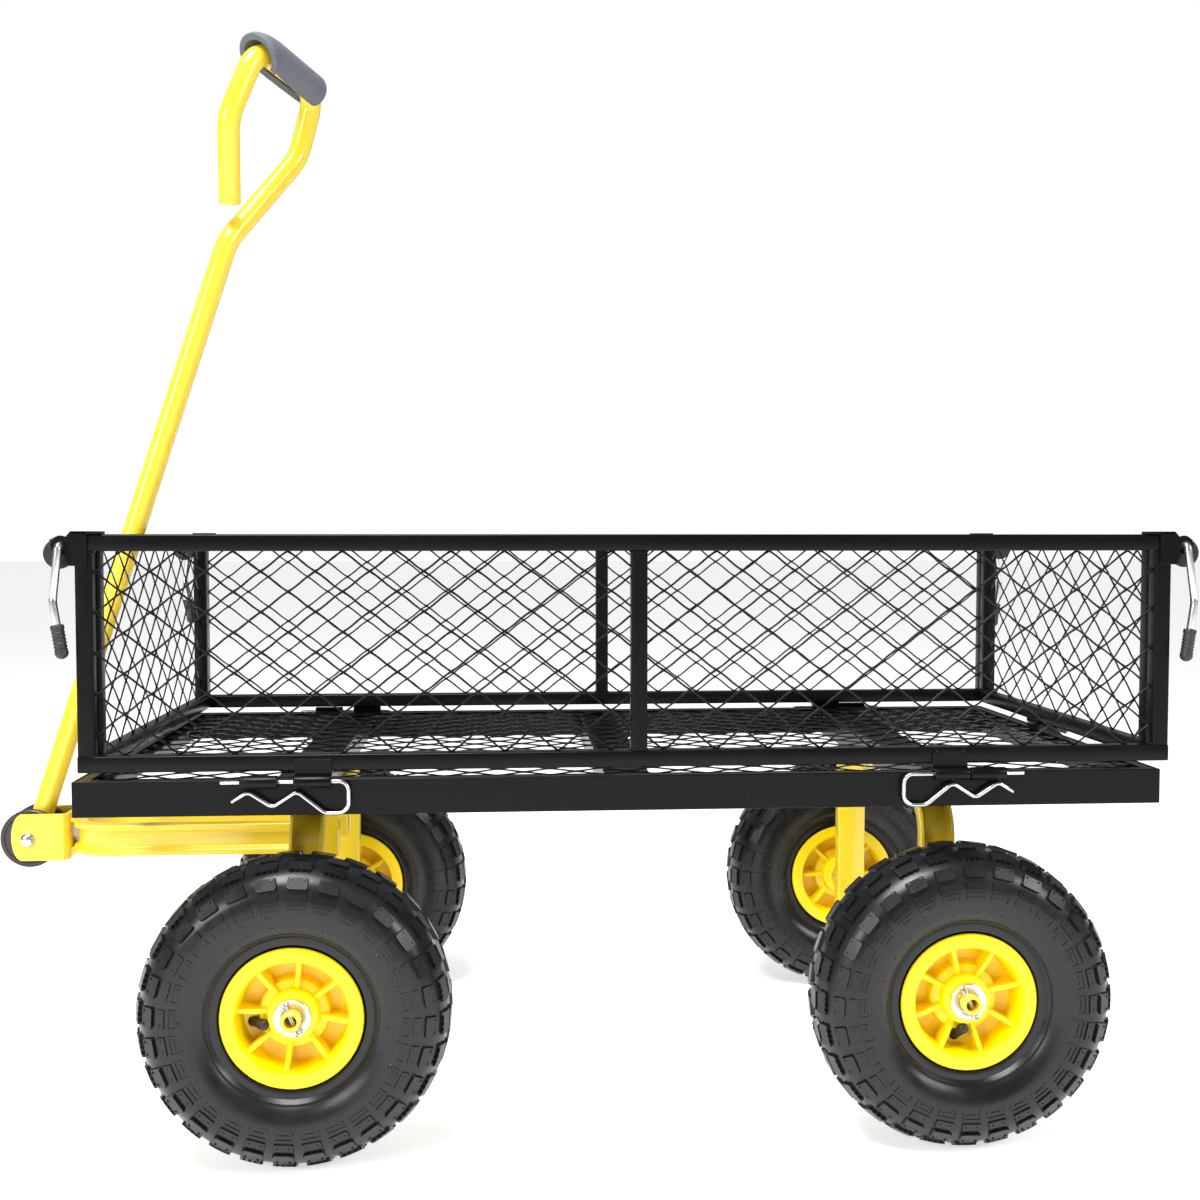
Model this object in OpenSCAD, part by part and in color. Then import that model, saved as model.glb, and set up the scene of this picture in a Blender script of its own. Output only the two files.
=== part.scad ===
// Garden cart: a mesh bed with four fold-down mesh sides on four tyred wheels, steered by a pull handle.
// X runs along the cart with the handle at -X, Y across it, Z up from the ground. All sizes are in mm.

/* [Bed] */
// Length of the bed's rim
bed_length = 926; // [700:1:1200]
// Width of the bed's rim
bed_width = 450; // [350:1:600]
// Height of the bed's top above the ground
bed_top = 324; // [290:1:420]
// Depth of the angle iron round the bed
skirt_h = 30; // [20:1:40]
// Thickness of the angle iron
sheet = 2.5; // [2:0.1:4]
// Length of one diamond of the expanded mesh
mesh_long = 44.8; // [30:0.1:80]
// Height of one diamond of the expanded mesh
mesh_short = 33; // [20:0.1:60]
// Width of a mesh strand
strand = 2.8; // [1.5:0.1:5]

/* [Side panels] */
// Height of a panel
panel_h = 197; // [120:1:300]
// Size of the panels' square tube
rail = 14; // [10:0.5:20]
// Gap from the bed's top to a panel's bottom rail
panel_gap = 7; // [3:0.5:15]
// How far the four panels sit towards the rear on their pins
panel_shift = 6; // [0:0.5:8]

/* [Wheels] */
// Outside diameter of a tyre
wheel_d = 260; // [200:1:290]
// Width of a tyre
tyre_w = 84; // [60:1:100]
// Outside diameter of a rim's flanges
rim_d = 118; // [100:1:140]
// Distance across the cart between the wheels' middles
track = 438; // [400:1:600]
// Distance from the bed's middle forward to the front axle
front_reach = 282; // [200:1:400]
// Distance from the bed's middle back to the rear axle
rear_reach = 287; // [200:1:400]
// Diameter of an axle
axle_d = 16.4; // [12:0.1:20]
// Radial running clearance of the wheels and the kingpin
run_fit = 0.05; // [0.02:0.01:0.1]

/* [Steering] */
// Width of the channel that the axle brackets and the drawbar are bent from
channel_w = 30; // [24:1:40]
// Depth of that channel
channel_d = 14; // [10:0.5:20]
// Diameter of the kingpin
kingpin_d = 16; // [12:0.1:20]
// Distance of the handle's pivot in front of the bed
hitch_reach = 104; // [80:1:160]
// Height of the handle's pivot
hitch_z = 233; // [180:1:260]

/* [Handle] */
// Outside diameter of the handle's tube
tube_d = 20.5; // [18:0.5:28]
// Lean of the handle towards the bed, in degrees
lean = 18.3; // [0:0.1:18.6]
// Distance from the pivot to the start of the loop
bend_v = 612; // [500:1:800]
// Distance from the pivot to the grip
grip_v = 788; // [650:1:1000]
// Half the width of the loop
loop_half = 56; // [45:1:70]
// Turn of the loop about the tube, in degrees
loop_turn = 27; // [0:1:45]
// Outside diameter of the foam grip
grip_d = 40; // [34:1:50]

/* [Pins and latches] */
// Diameter of the hinge clips' wire
wire_d = 3.6; // [2.5:0.1:5]
// Outside diameter of a hinge knuckle
knuckle_d = 11; // [9:0.5:14]
// Length of a hinge knuckle
knuckle_l = 31; // [20:1:40]
// Gap between a hinge's two knuckles
knuckle_gap = 6.8; // [6.5:0.1:10]
// Diameter of a latch lever's rod
rod_d = 6.5; // [5:0.1:8]

/* [Hidden] */
$fn = 48;
e = 0.01;
shift_x = 49.7;
half_l = bed_length / 2;
half_w = bed_width / 2;
bed_low = bed_top - skirt_h;
member_low = bed_low;
axle_z = wheel_d / 2;
front_x = -front_reach;
rear_x = rear_reach;
panel_low = bed_top + panel_gap;
panel_top = panel_low + panel_h;
side_face = half_w + 0.4;
side_l = bed_length + 1;
front_end = -side_l / 2 + panel_shift;
rear_end = side_l / 2 + panel_shift;
front_face = front_end + 2;
rear_face = rear_end;
end_half = side_face - rail - 1;
pin_z = bed_top - 1;
pin_y = half_w + knuckle_d / 2 + 0.6;
front_pin_x = -half_l - knuckle_d / 2 - 0.6;
rear_pin_x = rear_face + knuckle_d / 2 + 0.6;
hitch_x = -half_l - hitch_reach;
web = 3;
leg_y = 147;
arch_r = 30;
loop_web = 30;
clevis_back = hitch_x + 38;
disc_r = 28;
ear_h = 45.5;
ear_rise = 2;
ear_round = 48;
mesh_t = 2;
post_off = 1;
hinge_x = [front_x - 8.6, rear_x + 1];
hinge_half = (knuckle_l + knuckle_gap) / 2;

// ---- Shared shapes ----

function unit(v) = v / norm(v);
function side_of(p, q) = p[0] * q[1] - p[1] * q[0];
function turn_at(p, i) = acos(min(1, max(-1, unit(p[i] - p[i - 1]) * unit(p[i + 1] - p[i]))));
function bend_at(bend, i) = is_list(bend) ? bend[i - 1] : bend;
function trim_at(p, i, bend) = (i == 0 || i == len(p) - 1) ? 0 : bend_at(bend, i) * tan(turn_at(p, i) / 2);

// A round rod that follows a flat path in its XY plane, with a bend at each corner, of one radius or a list
// of them, and a thin collar over each end of a bend
module bent_rod(path, r, bend) {
    for (i = [0 : len(path) - 2]) {
        way = unit(path[i + 1] - path[i]);
        from = path[i] + way * trim_at(path, i, bend);
        to = path[i + 1] - way * trim_at(path, i + 1, bend);
        translate([from[0], from[1], 0])
            rotate([0, 0, atan2(way[1], way[0])])
                rotate([0, 90, 0])
                    cylinder(r = r, h = norm(to - from), $fn = 24);
    }
    for (i = [1 : len(path) - 2]) {
        way_in = unit(path[i] - path[i - 1]);
        way_out = unit(path[i + 1] - path[i]);
        hand = sign(side_of(way_in, way_out));
        start = path[i] - way_in * trim_at(path, i, bend);
        centre = start + hand * bend_at(bend, i) * [-way_in[1], way_in[0]];
        arm = start - centre;
        translate([centre[0], centre[1], 0])
            rotate([0, 0, atan2(arm[1], arm[0])])
                rotate_extrude(angle = hand * turn_at(path, i))
                    translate([bend_at(bend, i), 0])
                        circle(r = r, $fn = 24);
        for (q = [[start, way_in], [path[i] + way_out * trim_at(path, i, bend), way_out]])
            translate([q[0][0], q[0][1], 0])
                rotate([0, 0, atan2(q[1][1], q[1][0])])
                    rotate([0, 90, 0])
                        cylinder(r = r + 0.1, h = 1.2, center = true, $fn = 24);
    }
}

// One diamond of the expanded mesh
module diamond(x, y, a, b) {
    polygon([[x - a, y], [x, y - b], [x + a, y], [x, y + b]]);
}

// A flat sheet of expanded mesh in its XY plane, with a solid lip round a window of whole and half diamonds,
// and cut in two for a post if there is one
module mesh_sheet(w, h, lip, post) {
    nx = round(w / mesh_long);
    ny = round(h / mesh_short);
    px = w / nx;
    py = h / ny;
    a = px / 2 - strand * norm([px, py]) / py / 2;
    b = a * py / px;
    translate([-w / 2, 0, 0])
        linear_extrude(mesh_t)
            difference() {
                translate([-lip, -lip])
                    square([w + 2 * lip, h + 2 * lip]);
                for (i = [0 : nx - 1])
                    for (j = [0 : ny - 1])
                        diamond((i + 0.5) * px, (j + 0.5) * py, a, b);
                for (i = [1 : 1 : nx - 1])
                    for (j = [1 : 1 : ny - 1])
                        diamond(i * px, j * py, a, b);
                for (j = [1 : 1 : ny - 1]) {
                    polygon([[0, j * py - b], [a, j * py], [0, j * py + b]]);
                    polygon([[w, j * py - b], [w - a, j * py], [w, j * py + b]]);
                }
                for (i = [1 : 1 : nx - 1]) {
                    polygon([[i * px - a, 0], [i * px, b], [i * px + a, 0]]);
                    polygon([[i * px - a, h], [i * px, h - b], [i * px + a, h]]);
                }
                if (post)
                    translate([(w - rail) / 2 + post_off - 0.05, -1])
                        square([rail + 0.1, h + 2]);
            }
}

// A welded panel frame standing in the XZ plane, its outer face at y = 0 and its body towards +Y
module panel_frame(length, post) {
    difference() {
        union() {
            translate([-length / 2, 0, panel_low])
                cube([length, rail, rail]);
            translate([-length / 2, 0, panel_top - rail])
                cube([length, rail, rail]);
            for (s = [-1, 1])
                translate([s * (length - rail) / 2 - rail / 2, 0, panel_low + rail])
                    cube([rail, rail, panel_h - 2 * rail]);
            if (post)
                translate([-rail / 2 + post_off, 0, panel_low + rail])
                    cube([rail, rail, panel_h - 2 * rail]);
        }
        for (z = [panel_low, panel_top - rail])
            translate([-length / 2 - 1, 1.5, z + 1.5])
                cube([length + 2, rail - 3, rail - 3]);
    }
}

// The panel's mesh, welded inside the frame's window
module panel_mesh(length, post) {
    translate([0, rail / 2 + mesh_t / 2, panel_low + rail])
        rotate([90, 0, 0])
            mesh_sheet(length - 2 * rail, panel_h - 2 * rail, 0, post);
}

// The panel's knuckle with the strap that is welded up the bottom rail; reach is how far in the rail's face is
module panel_knuckle(reach) {
    difference() {
        union() {
            rotate([0, 90, 0])
                cylinder(d = knuckle_d, h = knuckle_l, center = true, $fn = 32);
            if (reach > 8)
                translate([-knuckle_l / 2, 0, 3.2])
                    cube([knuckle_l, reach, 2.2]);
            translate([-knuckle_l / 2, reach - 2, reach > 8 ? 3.2 : 0])
                cube([knuckle_l, 2, reach > 8 ? 15 : 18]);
        }
        rotate([0, 90, 0])
            cylinder(r = wire_d / 2 + 0.35, h = knuckle_l + 2, center = true, $fn = 32);
    }
}

// A bed knuckle with the pad that joins it to the rim; reach is how far in the rim's face is
module bed_knuckle(reach) {
    difference() {
        union() {
            rotate([0, 90, 0])
                cylinder(d = knuckle_d, h = knuckle_l, center = true, $fn = 32);
            translate([-knuckle_l / 2, 0, -5])
                cube([knuckle_l, reach + e, 7]);
        }
        rotate([0, 90, 0])
            cylinder(r = wire_d / 2 + 0.35, h = knuckle_l + 2, center = true, $fn = 32);
    }
}

// A hinge clip: a straight leg along +X from the eye, then a waved spring leg back under it
module hinge_clip() {
    rotate([90, 0, 0])
        bent_rod([[-99, 0], [5.5, 0], [5.5, -26.5], [-14, -26.5], [-37, -8], [-57, -21], [-77, -8], [-90, -16]],
            wire_d / 2, [8, 9.5, 9, 6, 6, 6]);
}

// A latch plate at the front left corner of the left panel, its origin at the panel's top outer corner
module latch_plate() {
    difference() {
        union() {
            translate([-8, -2, -26.5])
                cube([19, 2, 29]);
            translate([-10, 0, -9])
                rotate([90, 0, 0])
                    cylinder(r = 8, h = 2);
            translate([-2, -2, 0])
                cube([24, 14, 2.5]);
        }
        translate([-10, 1, -9])
            rotate([90, 0, 0])
                cylinder(r = rod_d / 2 + 0.35, h = 4);
    }
}

// A latch lever at that corner: the bent rod, its round cam behind the plate and the horn over the top
module latch_lever() {
    translate([-10, -7.5, -9]) {
        rotate([90, 0, 0])
            bent_rod([[0, 0], [-7, -47.5], [0, -90]], rod_d / 2, 20);
        rotate([-90, 0, 0])
            cylinder(d = rod_d, h = 20, $fn = 24);
        sphere(d = rod_d + 0.6, $fn = 24);
    }
    difference() {
        translate([-13, 5.5, -16])
            rotate([90, 0, 0])
                cylinder(r = 12.5, h = 3);
        translate([-13, 7, -16])
            rotate([90, 0, 0])
                cylinder(r = 2, h = 6);
    }
    translate([-13, 12.5, -16])
        rotate([90, 0, 0])
            rotate([0, 0, 40])
                rotate_extrude(angle = 85)
                    translate([11, 0])
                        square([3, 8]);
}

// The rubber sleeve on the lever's end
module latch_sleeve() {
    translate([-17, -7.5, -56.5])
        rotate([0, -9.35, 0])
            difference() {
                translate([0, 0, -47.5])
                    cylinder(d = 11, h = 27.5, $fn = 32);
                translate([0, 0, -44])
                    cylinder(d = rod_d + 0.2, h = 40, $fn = 32);
            }
}

// Places a corner's parts: s is -1 for the front and 1 for the rear, side is -1 for the left and 1 for the right
module at_corner(s, side) {
    translate([s < 0 ? front_end : rear_end, side * side_face, panel_top])
        mirror([s > 0 ? 1 : 0, 0, 0])
            mirror([0, side > 0 ? 1 : 0, 0])
                children();
}

// A straight length of channel along +X, its web towards -Y; grow makes it that much thicker all round
module channel_bar(length, grow) {
    translate([0, -grow, -grow])
        cube([length, web + 2 * grow, channel_w + 2 * grow]);
    for (z = [0, channel_w - web])
        translate([0, -grow, z - grow])
            cube([length, channel_d + 2 * grow, web + 2 * grow]);
}

// Half of the arched channel that carries an axle, for the +Y side; top is the web's underside
module half_arch(top, w) {
    translate([-w / 2, -e, top])
        cube([w, leg_y - arch_r + e, web]);
    for (s = [-1, 1])
        translate([s * (w - web) / 2 - web / 2, -e, top + web - e])
            cube([web, leg_y - arch_r + e, channel_d - web + e]);
    translate([-w / 2, leg_y - arch_r, top - arch_r])
        rotate([0, 90, 0])
            rotate([0, 0, 90])
                rotate_extrude(angle = 90)
                    polygon([[arch_r, 0], [arch_r + channel_d, 0], [arch_r + channel_d, web],
                        [arch_r + web, web], [arch_r + web, w - web], [arch_r + channel_d, w - web],
                        [arch_r + channel_d, w], [arch_r, w]]);
    translate([-w / 2, leg_y, axle_z - 22])
        cube([w, web, top - arch_r - axle_z + 22]);
    for (s = [-1, 1])
        translate([s * (w - web) / 2 - web / 2, leg_y + web - e, axle_z - 22])
            cube([web, channel_d - web + e, top - arch_r - axle_z + 22]);
}

// An axle bracket: the whole arch, w wide, with its axle holes
module axle_bracket(x, top, w) {
    difference() {
        translate([x, 0, 0])
            for (m = [0, 1])
                mirror([0, m, 0])
                    half_arch(top, w);
        translate([x, -200, axle_z])
            rotate([-90, 0, 0])
                cylinder(d = axle_d + 0.2, h = 400);
    }
}

// An axle along Y with a cross hole near each end
module axle_bar(x) {
    translate([x, -track / 2 - 39, axle_z])
        rotate([-90, 0, 0])
            difference() {
                cylinder(d = axle_d, h = track + 78);
                translate([0, 0, -1])
                    cylinder(d = 10.7, h = 26);
                translate([0, 0, track + 78 - 25])
                    cylinder(d = 10.7, h = 26);
                for (s = [-1, 1])
                    translate([0, 0, track / 2 + 39 + s * (track / 2 + 33)])
                        rotate([90, 0, s * 25])
                            cylinder(d = 4.4, h = 30, center = true, $fn = 24);
            }
}

// What keeps both wheels on an axle: spacers inside, washers and split pins outside
module wheel_keepers(x) {
    for (s = [-1, 1])
        translate([x, s * track / 2, axle_z])
            rotate([-90 * s, 0, 0]) {
                difference() {
                    union() {
                        translate([0, 0, -54])
                            cylinder(d = 26, h = 22.4);
                        translate([0, 0, 27.6])
                            cylinder(d = 31, h = 2);
                    }
                    translate([0, 0, -60])
                        cylinder(d = axle_d + 0.2, h = 120);
                }
                translate([0, 0, 33])
                    rotate([90, 0, 25])
                        cylinder(d = 3.6, h = 27, center = true, $fn = 24);
                translate([0, 0, 33])
                    rotate([90, 0, 25])
                        translate([0, 0, 12])
                            cylinder(d = 6.5, h = 3.5, $fn = 24);
            }
}

// Places a wheel's parts with +Z pointing outward from the cart
module at_wheel(x, side) {
    translate([x, side * track / 2, axle_z])
        rotate([-90 * side, 0, 0])
            children();
}

// A tyre, with its beads between the rim's flanges
module tyre() {
    r = wheel_d / 2;
    b = rim_d / 2;
    w = tyre_w / 2;
    color([0.05, 0.05, 0.05])
        rotate_extrude($fn = 96)
            polygon([
                [b - 6.8, -26.6], [b + 0.6, -26.8], [b + 5, -0.8 * w], [b + 20, -0.96 * w],
                [(b + r) / 2 + 2, -w], [r - 18, -0.97 * w], [r - 8, -0.84 * w], [r - 3, -0.6 * w],
                [r, -0.25 * w], [r, 0.25 * w], [r - 3, 0.6 * w], [r - 8, 0.84 * w], [r - 18, 0.97 * w],
                [(b + r) / 2 + 2, w], [b + 20, 0.96 * w], [b + 5, 0.8 * w], [b + 0.6, 26.8],
                [b - 6.8, 26.6], [b - 6.8, 17], [b + 6, 0.62 * w], [(b + r) / 2, 0.86 * w],
                [r - 16, 0.7 * w], [r - 9, 0.3 * w], [r - 9, -0.3 * w], [r - 16, -0.7 * w],
                [(b + r) / 2, -0.86 * w], [b + 6, -0.62 * w], [b - 6.8, -17]]);
}

// A moulded rim: flanges, barrel, centre wall, hub and eight ribs on each face, with the valve's hole in one bay
module rim(phase, bay) {
    b = rim_d / 2;
    color([0.98, 0.8, 0.02])
        difference() {
            union() {
                difference() {
                    union() {
                        cylinder(r = b - 7, h = 62, center = true, $fn = 72);
                        for (z = [-31, 27.4])
                            translate([0, 0, z])
                                cylinder(r = b, h = 3.6, $fn = 72);
                    }
                    for (z = [-32, 2.5])
                        translate([0, 0, z])
                            cylinder(r = b - 13, h = 29.5, $fn = 72);
                }
                cylinder(d = 42, h = 54, center = true);
                for (k = [0 : 7])
                    rotate([0, 0, phase + 45 * k])
                        translate([18, -2.5, -24])
                            cube([b - 13 - 18 + 2, 5, 48]);
            }
            cylinder(d = axle_d + 2 * run_fit, h = 80, center = true);
            rotate([0, 0, phase + 22.5 + 45 * bay])
                translate([b - 20.5, 0, -3])
                    cylinder(d = 11, h = 40, $fn = 24);
        }
}

// The inner tube's valve stem, standing in the rim's outer recess
module valve(phase, bay) {
    b = rim_d / 2;
    color([0.06, 0.06, 0.06])
        rotate([0, 0, phase + 22.5 + 45 * bay])
            translate([b - 20.5, 0, -1.5]) {
                cylinder(d = 9.6, h = 4, $fn = 24);
                translate([0, 0, 2])
                    rotate([0, -24, 0])
                        cylinder(d = 8, h = 30, $fn = 24);
            }
}

// ---- Bed ----

module bed_frame() {
    color([0.05, 0.05, 0.055])
        translate([shift_x, 0, 0]) {
            difference() {
                translate([-half_l, -half_w, bed_low])
                    cube([bed_length, bed_width, skirt_h]);
                translate([-half_l + sheet, -half_w + sheet, bed_low - 1])
                    cube([bed_length - 2 * sheet, bed_width - 2 * sheet, skirt_h - mesh_t - sheet + 1]);
                translate([-half_l + 25, -half_w + 25, bed_low - 1])
                    cube([bed_length - 50, bed_width - 50, skirt_h + 2]);
                translate([-half_l + sheet, -half_w + sheet, bed_top - mesh_t])
                    cube([bed_length - 2 * sheet, bed_width - 2 * sheet, mesh_t + 1]);
            }
            for (x = [front_x, 0, rear_x])
                difference() {
                    translate([x - 20, -half_w + 1, member_low])
                        cube([40, bed_width - 2, bed_top - mesh_t - member_low]);
                    translate([x - 20 + 2.5, -half_w - 1, member_low + 2.5])
                        cube([35, bed_width + 2, bed_top - mesh_t - member_low - 5]);
                }
        }
}

module bed_mesh() {
    color([0.06, 0.06, 0.065])
        translate([shift_x, -half_w + 13, bed_top - mesh_t])
            mesh_sheet(bed_length - 26, bed_width - 26, 13 - sheet - 0.3, false);
}

module bed_knuckles() {
    color([0.05, 0.05, 0.055])
        translate([shift_x, 0, 0]) {
            for (side = [-1, 1])
                for (s = [-1, 1])
                    translate([(s < 0 ? hinge_x[0] : hinge_x[1]) + s * hinge_half, side * pin_y, pin_z])
                        mirror([0, side > 0 ? 1 : 0, 0])
                            bed_knuckle(pin_y - half_w);
            translate([front_pin_x, 44, pin_z])
                rotate([0, 0, -90])
                    bed_knuckle(-front_pin_x - half_l);
            translate([rear_pin_x, 44, pin_z])
                rotate([0, 0, 90])
                    bed_knuckle(rear_pin_x - half_l);
        }
}

module rear_bracket() {
    color([0.98, 0.8, 0.02])
        translate([shift_x, 0, 0])
            axle_bracket(rear_x, bed_low - channel_d, channel_w + 1);
}

module rear_axle() {
    color([0.98, 0.8, 0.02])
        translate([shift_x, 0, 0])
            axle_bar(rear_x);
}

module rear_keepers() {
    color([0.75, 0.75, 0.75])
        translate([shift_x, 0, 0])
            wheel_keepers(rear_x);
}

module kingpin_mount() {
    color([0.98, 0.8, 0.02])
        translate([front_x + shift_x, 0, bed_low]) {
            translate([-28, -45, -2])
                cube([56, 90, 2]);
            translate([0, 0, -32])
                cylinder(d = kingpin_d, h = 31);
        }
}

module kingpin_nut() {
    color([0.75, 0.75, 0.75])
        translate([front_x + shift_x, 0, bed_low])
            difference() {
                union() {
                    translate([0, 0, -19.6])
                        cylinder(d = 30, h = 2);
                    translate([0, 0, -31])
                        cylinder(d = 26, h = 11.5, $fn = 6);
                }
                translate([0, 0, -40])
                    cylinder(d = kingpin_d, h = 40);
            }
}

// ---- Steering ----

module front_bracket() {
    color([0.98, 0.8, 0.02])
        translate([shift_x, 0, 0]) {
            difference() {
                axle_bracket(front_x, bed_low - channel_d - 3.2, channel_w - 3);
                translate([front_x, 0, bed_low - 40])
                    cylinder(d = kingpin_d + 2 * run_fit, h = 60);
            }
            for (s = [-1, 1])
                translate([front_x - 15, s * (loop_web + channel_d + 1.5) - 1.5, hitch_z - 15])
                    cube([30, 3, bed_low - channel_d - 3 - hitch_z + 15]);
        }
}

module drawbar() {
    lc = clevis_back + loop_web + channel_d;
    low = hitch_z - channel_w / 2 + 2;
    color([0.98, 0.8, 0.02])
        translate([shift_x, 0, 0]) {
            translate([lc, 0, low])
                rotate([0, 0, 90])
                    rotate_extrude(angle = 180, $fn = 64)
                        polygon([[loop_web, 0], [loop_web + channel_d, 0], [loop_web + channel_d, web],
                            [loop_web + web, web], [loop_web + web, channel_w - web],
                            [loop_web + channel_d, channel_w - web], [loop_web + channel_d, channel_w],
                            [loop_web, channel_w]]);
            for (m = [0, 1])
                mirror([0, m, 0]) {
                    translate([lc, loop_web, low])
                        channel_bar(front_x + 15 - lc, 0);
                    translate([lc - 0.8, loop_web, low])
                        channel_bar(1.6, 0.1);
                }
        }
}

module front_axle() {
    color([0.98, 0.8, 0.02])
        translate([shift_x, 0, 0])
            axle_bar(front_x);
}

module front_keepers() {
    color([0.75, 0.75, 0.75])
        translate([shift_x, 0, 0])
            wheel_keepers(front_x);
}

module hitch_clevis() {
    ear = tube_d / 2 + 9.7;
    mid = hitch_z + ear_rise;
    color([0.98, 0.8, 0.02])
        translate([shift_x, 0, 0]) {
            translate([clevis_back - 4, -ear - 4, mid - ear_h / 2])
                cube([4, 2 * ear + 8, ear_h]);
            for (s = [-1, 1])
                translate([0, s * (ear + 2), mid])
                    rotate([90, 0, 0])
                        difference() {
                            intersection() {
                                translate([hitch_x - 16 + ear_round, 0, -2])
                                    cylinder(r = ear_round, h = 4, $fn = 64);
                                translate([hitch_x - 30, -ear_h / 2, -3])
                                    cube([clevis_back - hitch_x + 29, ear_h, 6]);
                            }
                            translate([hitch_x, -ear_rise, -5])
                                cylinder(d = 10.4, h = 10);
                        }
        }
}

module hitch_bolt() {
    ear = tube_d / 2 + 13.7;
    color([0.75, 0.75, 0.75])
        translate([hitch_x + shift_x, 0, hitch_z])
            rotate([90, 0, 0]) {
                translate([0, 0, -ear - 9])
                    cylinder(d = 10, h = 2 * ear + 9);
                translate([0, 0, ear])
                    cylinder(d = 14, h = 5);
                translate([0, 0, -ear - 7.5])
                    cylinder(d = 17, h = 7.5, $fn = 6);
            }
}

// ---- Handle ----

module in_handle() {
    translate([hitch_x + shift_x, 0, hitch_z])
        rotate([0, lean, 0])
            children();
}

module hitch_discs() {
    color([0.08, 0.08, 0.085])
        in_handle()
            for (s = [-1, 1])
                translate([0, s * (tube_d / 2 + 4.8), 0])
                    rotate([90, 0, 0])
                        difference() {
                            cylinder(r = disc_r, h = 8, center = true, $fn = 64);
                            cylinder(d = 10.4, h = 10, center = true);
                        }
}

module handle_tube() {
    loop = [[0, -16], [0, bend_v], [1.1 * loop_half, bend_v + 110], [loop_half - 1, grip_v],
        [-0.75 * loop_half, grip_v], [-0.9 * loop_half, bend_v + 104], [-0.23 * loop_half, bend_v + 34]];
    color([0.98, 0.8, 0.02])
        in_handle()
            difference() {
                rotate([90, 0, 90 - loop_turn])
                    bent_rod(loop, tube_d / 2, [50, 45, 24, 24, 45]);
                rotate([90, 0, 0])
                    cylinder(d = 10.4, h = 60, center = true);
                translate([0, 0, -17])
                    cylinder(d = tube_d - 3, h = bend_v, $fn = 32);
            }
}

module handle_grip() {
    color([0.3, 0.3, 0.32])
        in_handle()
            rotate([0, 0, 90 - loop_turn])
                translate([loop_half / 10, 0, grip_v])
                    rotate([0, 90, 0])
                        difference() {
                            cylinder(d = grip_d, h = 1.6 * loop_half, center = true);
                            cylinder(r = tube_d / 2 + 3, h = 2 * loop_half, center = true);
                            translate([0, -12, -loop_half])
                                cube([30, 24, 2 * loop_half]);
                        }
}

// ---- Side panels ----

module left_frame() {
    color([0.05, 0.05, 0.055])
        translate([shift_x + panel_shift, -side_face, 0])
            panel_frame(side_l, true);
}

module left_mesh() {
    color([0.06, 0.06, 0.065])
        translate([shift_x + panel_shift, -side_face, 0])
            panel_mesh(side_l, true);
}

module left_knuckles() {
    color([0.05, 0.05, 0.055])
        for (s = [-1, 1])
            translate([shift_x + (s < 0 ? hinge_x[0] : hinge_x[1]) - s * hinge_half + panel_shift, -pin_y, pin_z])
                panel_knuckle(pin_y - side_face);
}

module left_latch_plates() {
    color([0.05, 0.05, 0.055])
        translate([shift_x, 0, 0])
            for (s = [-1, 1])
                at_corner(s, -1)
                    latch_plate();
}

module right_frame() {
    mirror([0, 1, 0])
        left_frame();
}

module right_mesh() {
    mirror([0, 1, 0])
        left_mesh();
}

module right_knuckles() {
    mirror([0, 1, 0])
        left_knuckles();
}

module right_latch_plates() {
    mirror([0, 1, 0])
        left_latch_plates();
}

module front_frame() {
    color([0.05, 0.05, 0.055])
        translate([shift_x + front_face, 0, 0])
            rotate([0, 0, -90])
                panel_frame(2 * end_half, false);
}

module front_mesh() {
    color([0.06, 0.06, 0.065])
        translate([shift_x + front_face, 0, 0])
            rotate([0, 0, -90])
                panel_mesh(2 * end_half, false);
}

module front_knuckle() {
    color([0.05, 0.05, 0.055])
        translate([shift_x + front_pin_x, 44 + 2 * hinge_half, pin_z])
            rotate([0, 0, -90])
                panel_knuckle(front_face - front_pin_x);
}

module rear_frame() {
    color([0.05, 0.05, 0.055])
        translate([shift_x + rear_face, 0, 0])
            rotate([0, 0, 90])
                panel_frame(2 * end_half, false);
}

module rear_mesh() {
    color([0.06, 0.06, 0.065])
        translate([shift_x + rear_face, 0, 0])
            rotate([0, 0, 90])
                panel_mesh(2 * end_half, false);
}

module rear_knuckle() {
    color([0.05, 0.05, 0.055])
        translate([shift_x + rear_pin_x, 44 + 2 * hinge_half, pin_z])
            rotate([0, 0, 90])
                panel_knuckle(rear_pin_x - rear_face);
}

// ---- Latches ----

module latch_at(s, side) {
    color([0.8, 0.8, 0.8])
        translate([shift_x, 0, 0])
            at_corner(s, side)
                latch_lever();
}

module sleeve_at(s, side) {
    color([0.1, 0.1, 0.1])
        translate([shift_x, 0, 0])
            at_corner(s, side)
                latch_sleeve();
}

module latch_left_front() {
    latch_at(-1, -1);
}

module sleeve_left_front() {
    sleeve_at(-1, -1);
}

module latch_left_rear() {
    latch_at(1, -1);
}

module sleeve_left_rear() {
    sleeve_at(1, -1);
}

module latch_right_front() {
    latch_at(-1, 1);
}

module sleeve_right_front() {
    sleeve_at(-1, 1);
}

module latch_right_rear() {
    latch_at(1, 1);
}

module sleeve_right_rear() {
    sleeve_at(1, 1);
}

// ---- Hinge clips ----

module side_clip(s, side) {
    color([0.8, 0.8, 0.8])
        translate([shift_x + (s < 0 ? hinge_x[0] : hinge_x[1]) - s * (hinge_half + knuckle_l / 2 + 14.5), side * pin_y, pin_z])
            mirror([s > 0 ? 1 : 0, 0, 0])
                hinge_clip();
}

module clip_left_front() {
    side_clip(-1, -1);
}

module clip_left_rear() {
    side_clip(1, -1);
}

module clip_right_front() {
    side_clip(-1, 1);
}

module clip_right_rear() {
    side_clip(1, 1);
}

module clip_front() {
    color([0.8, 0.8, 0.8])
        translate([shift_x + front_pin_x, 44 + 2 * hinge_half + 20, pin_z])
            rotate([0, 0, 90])
                hinge_clip();
}

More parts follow.
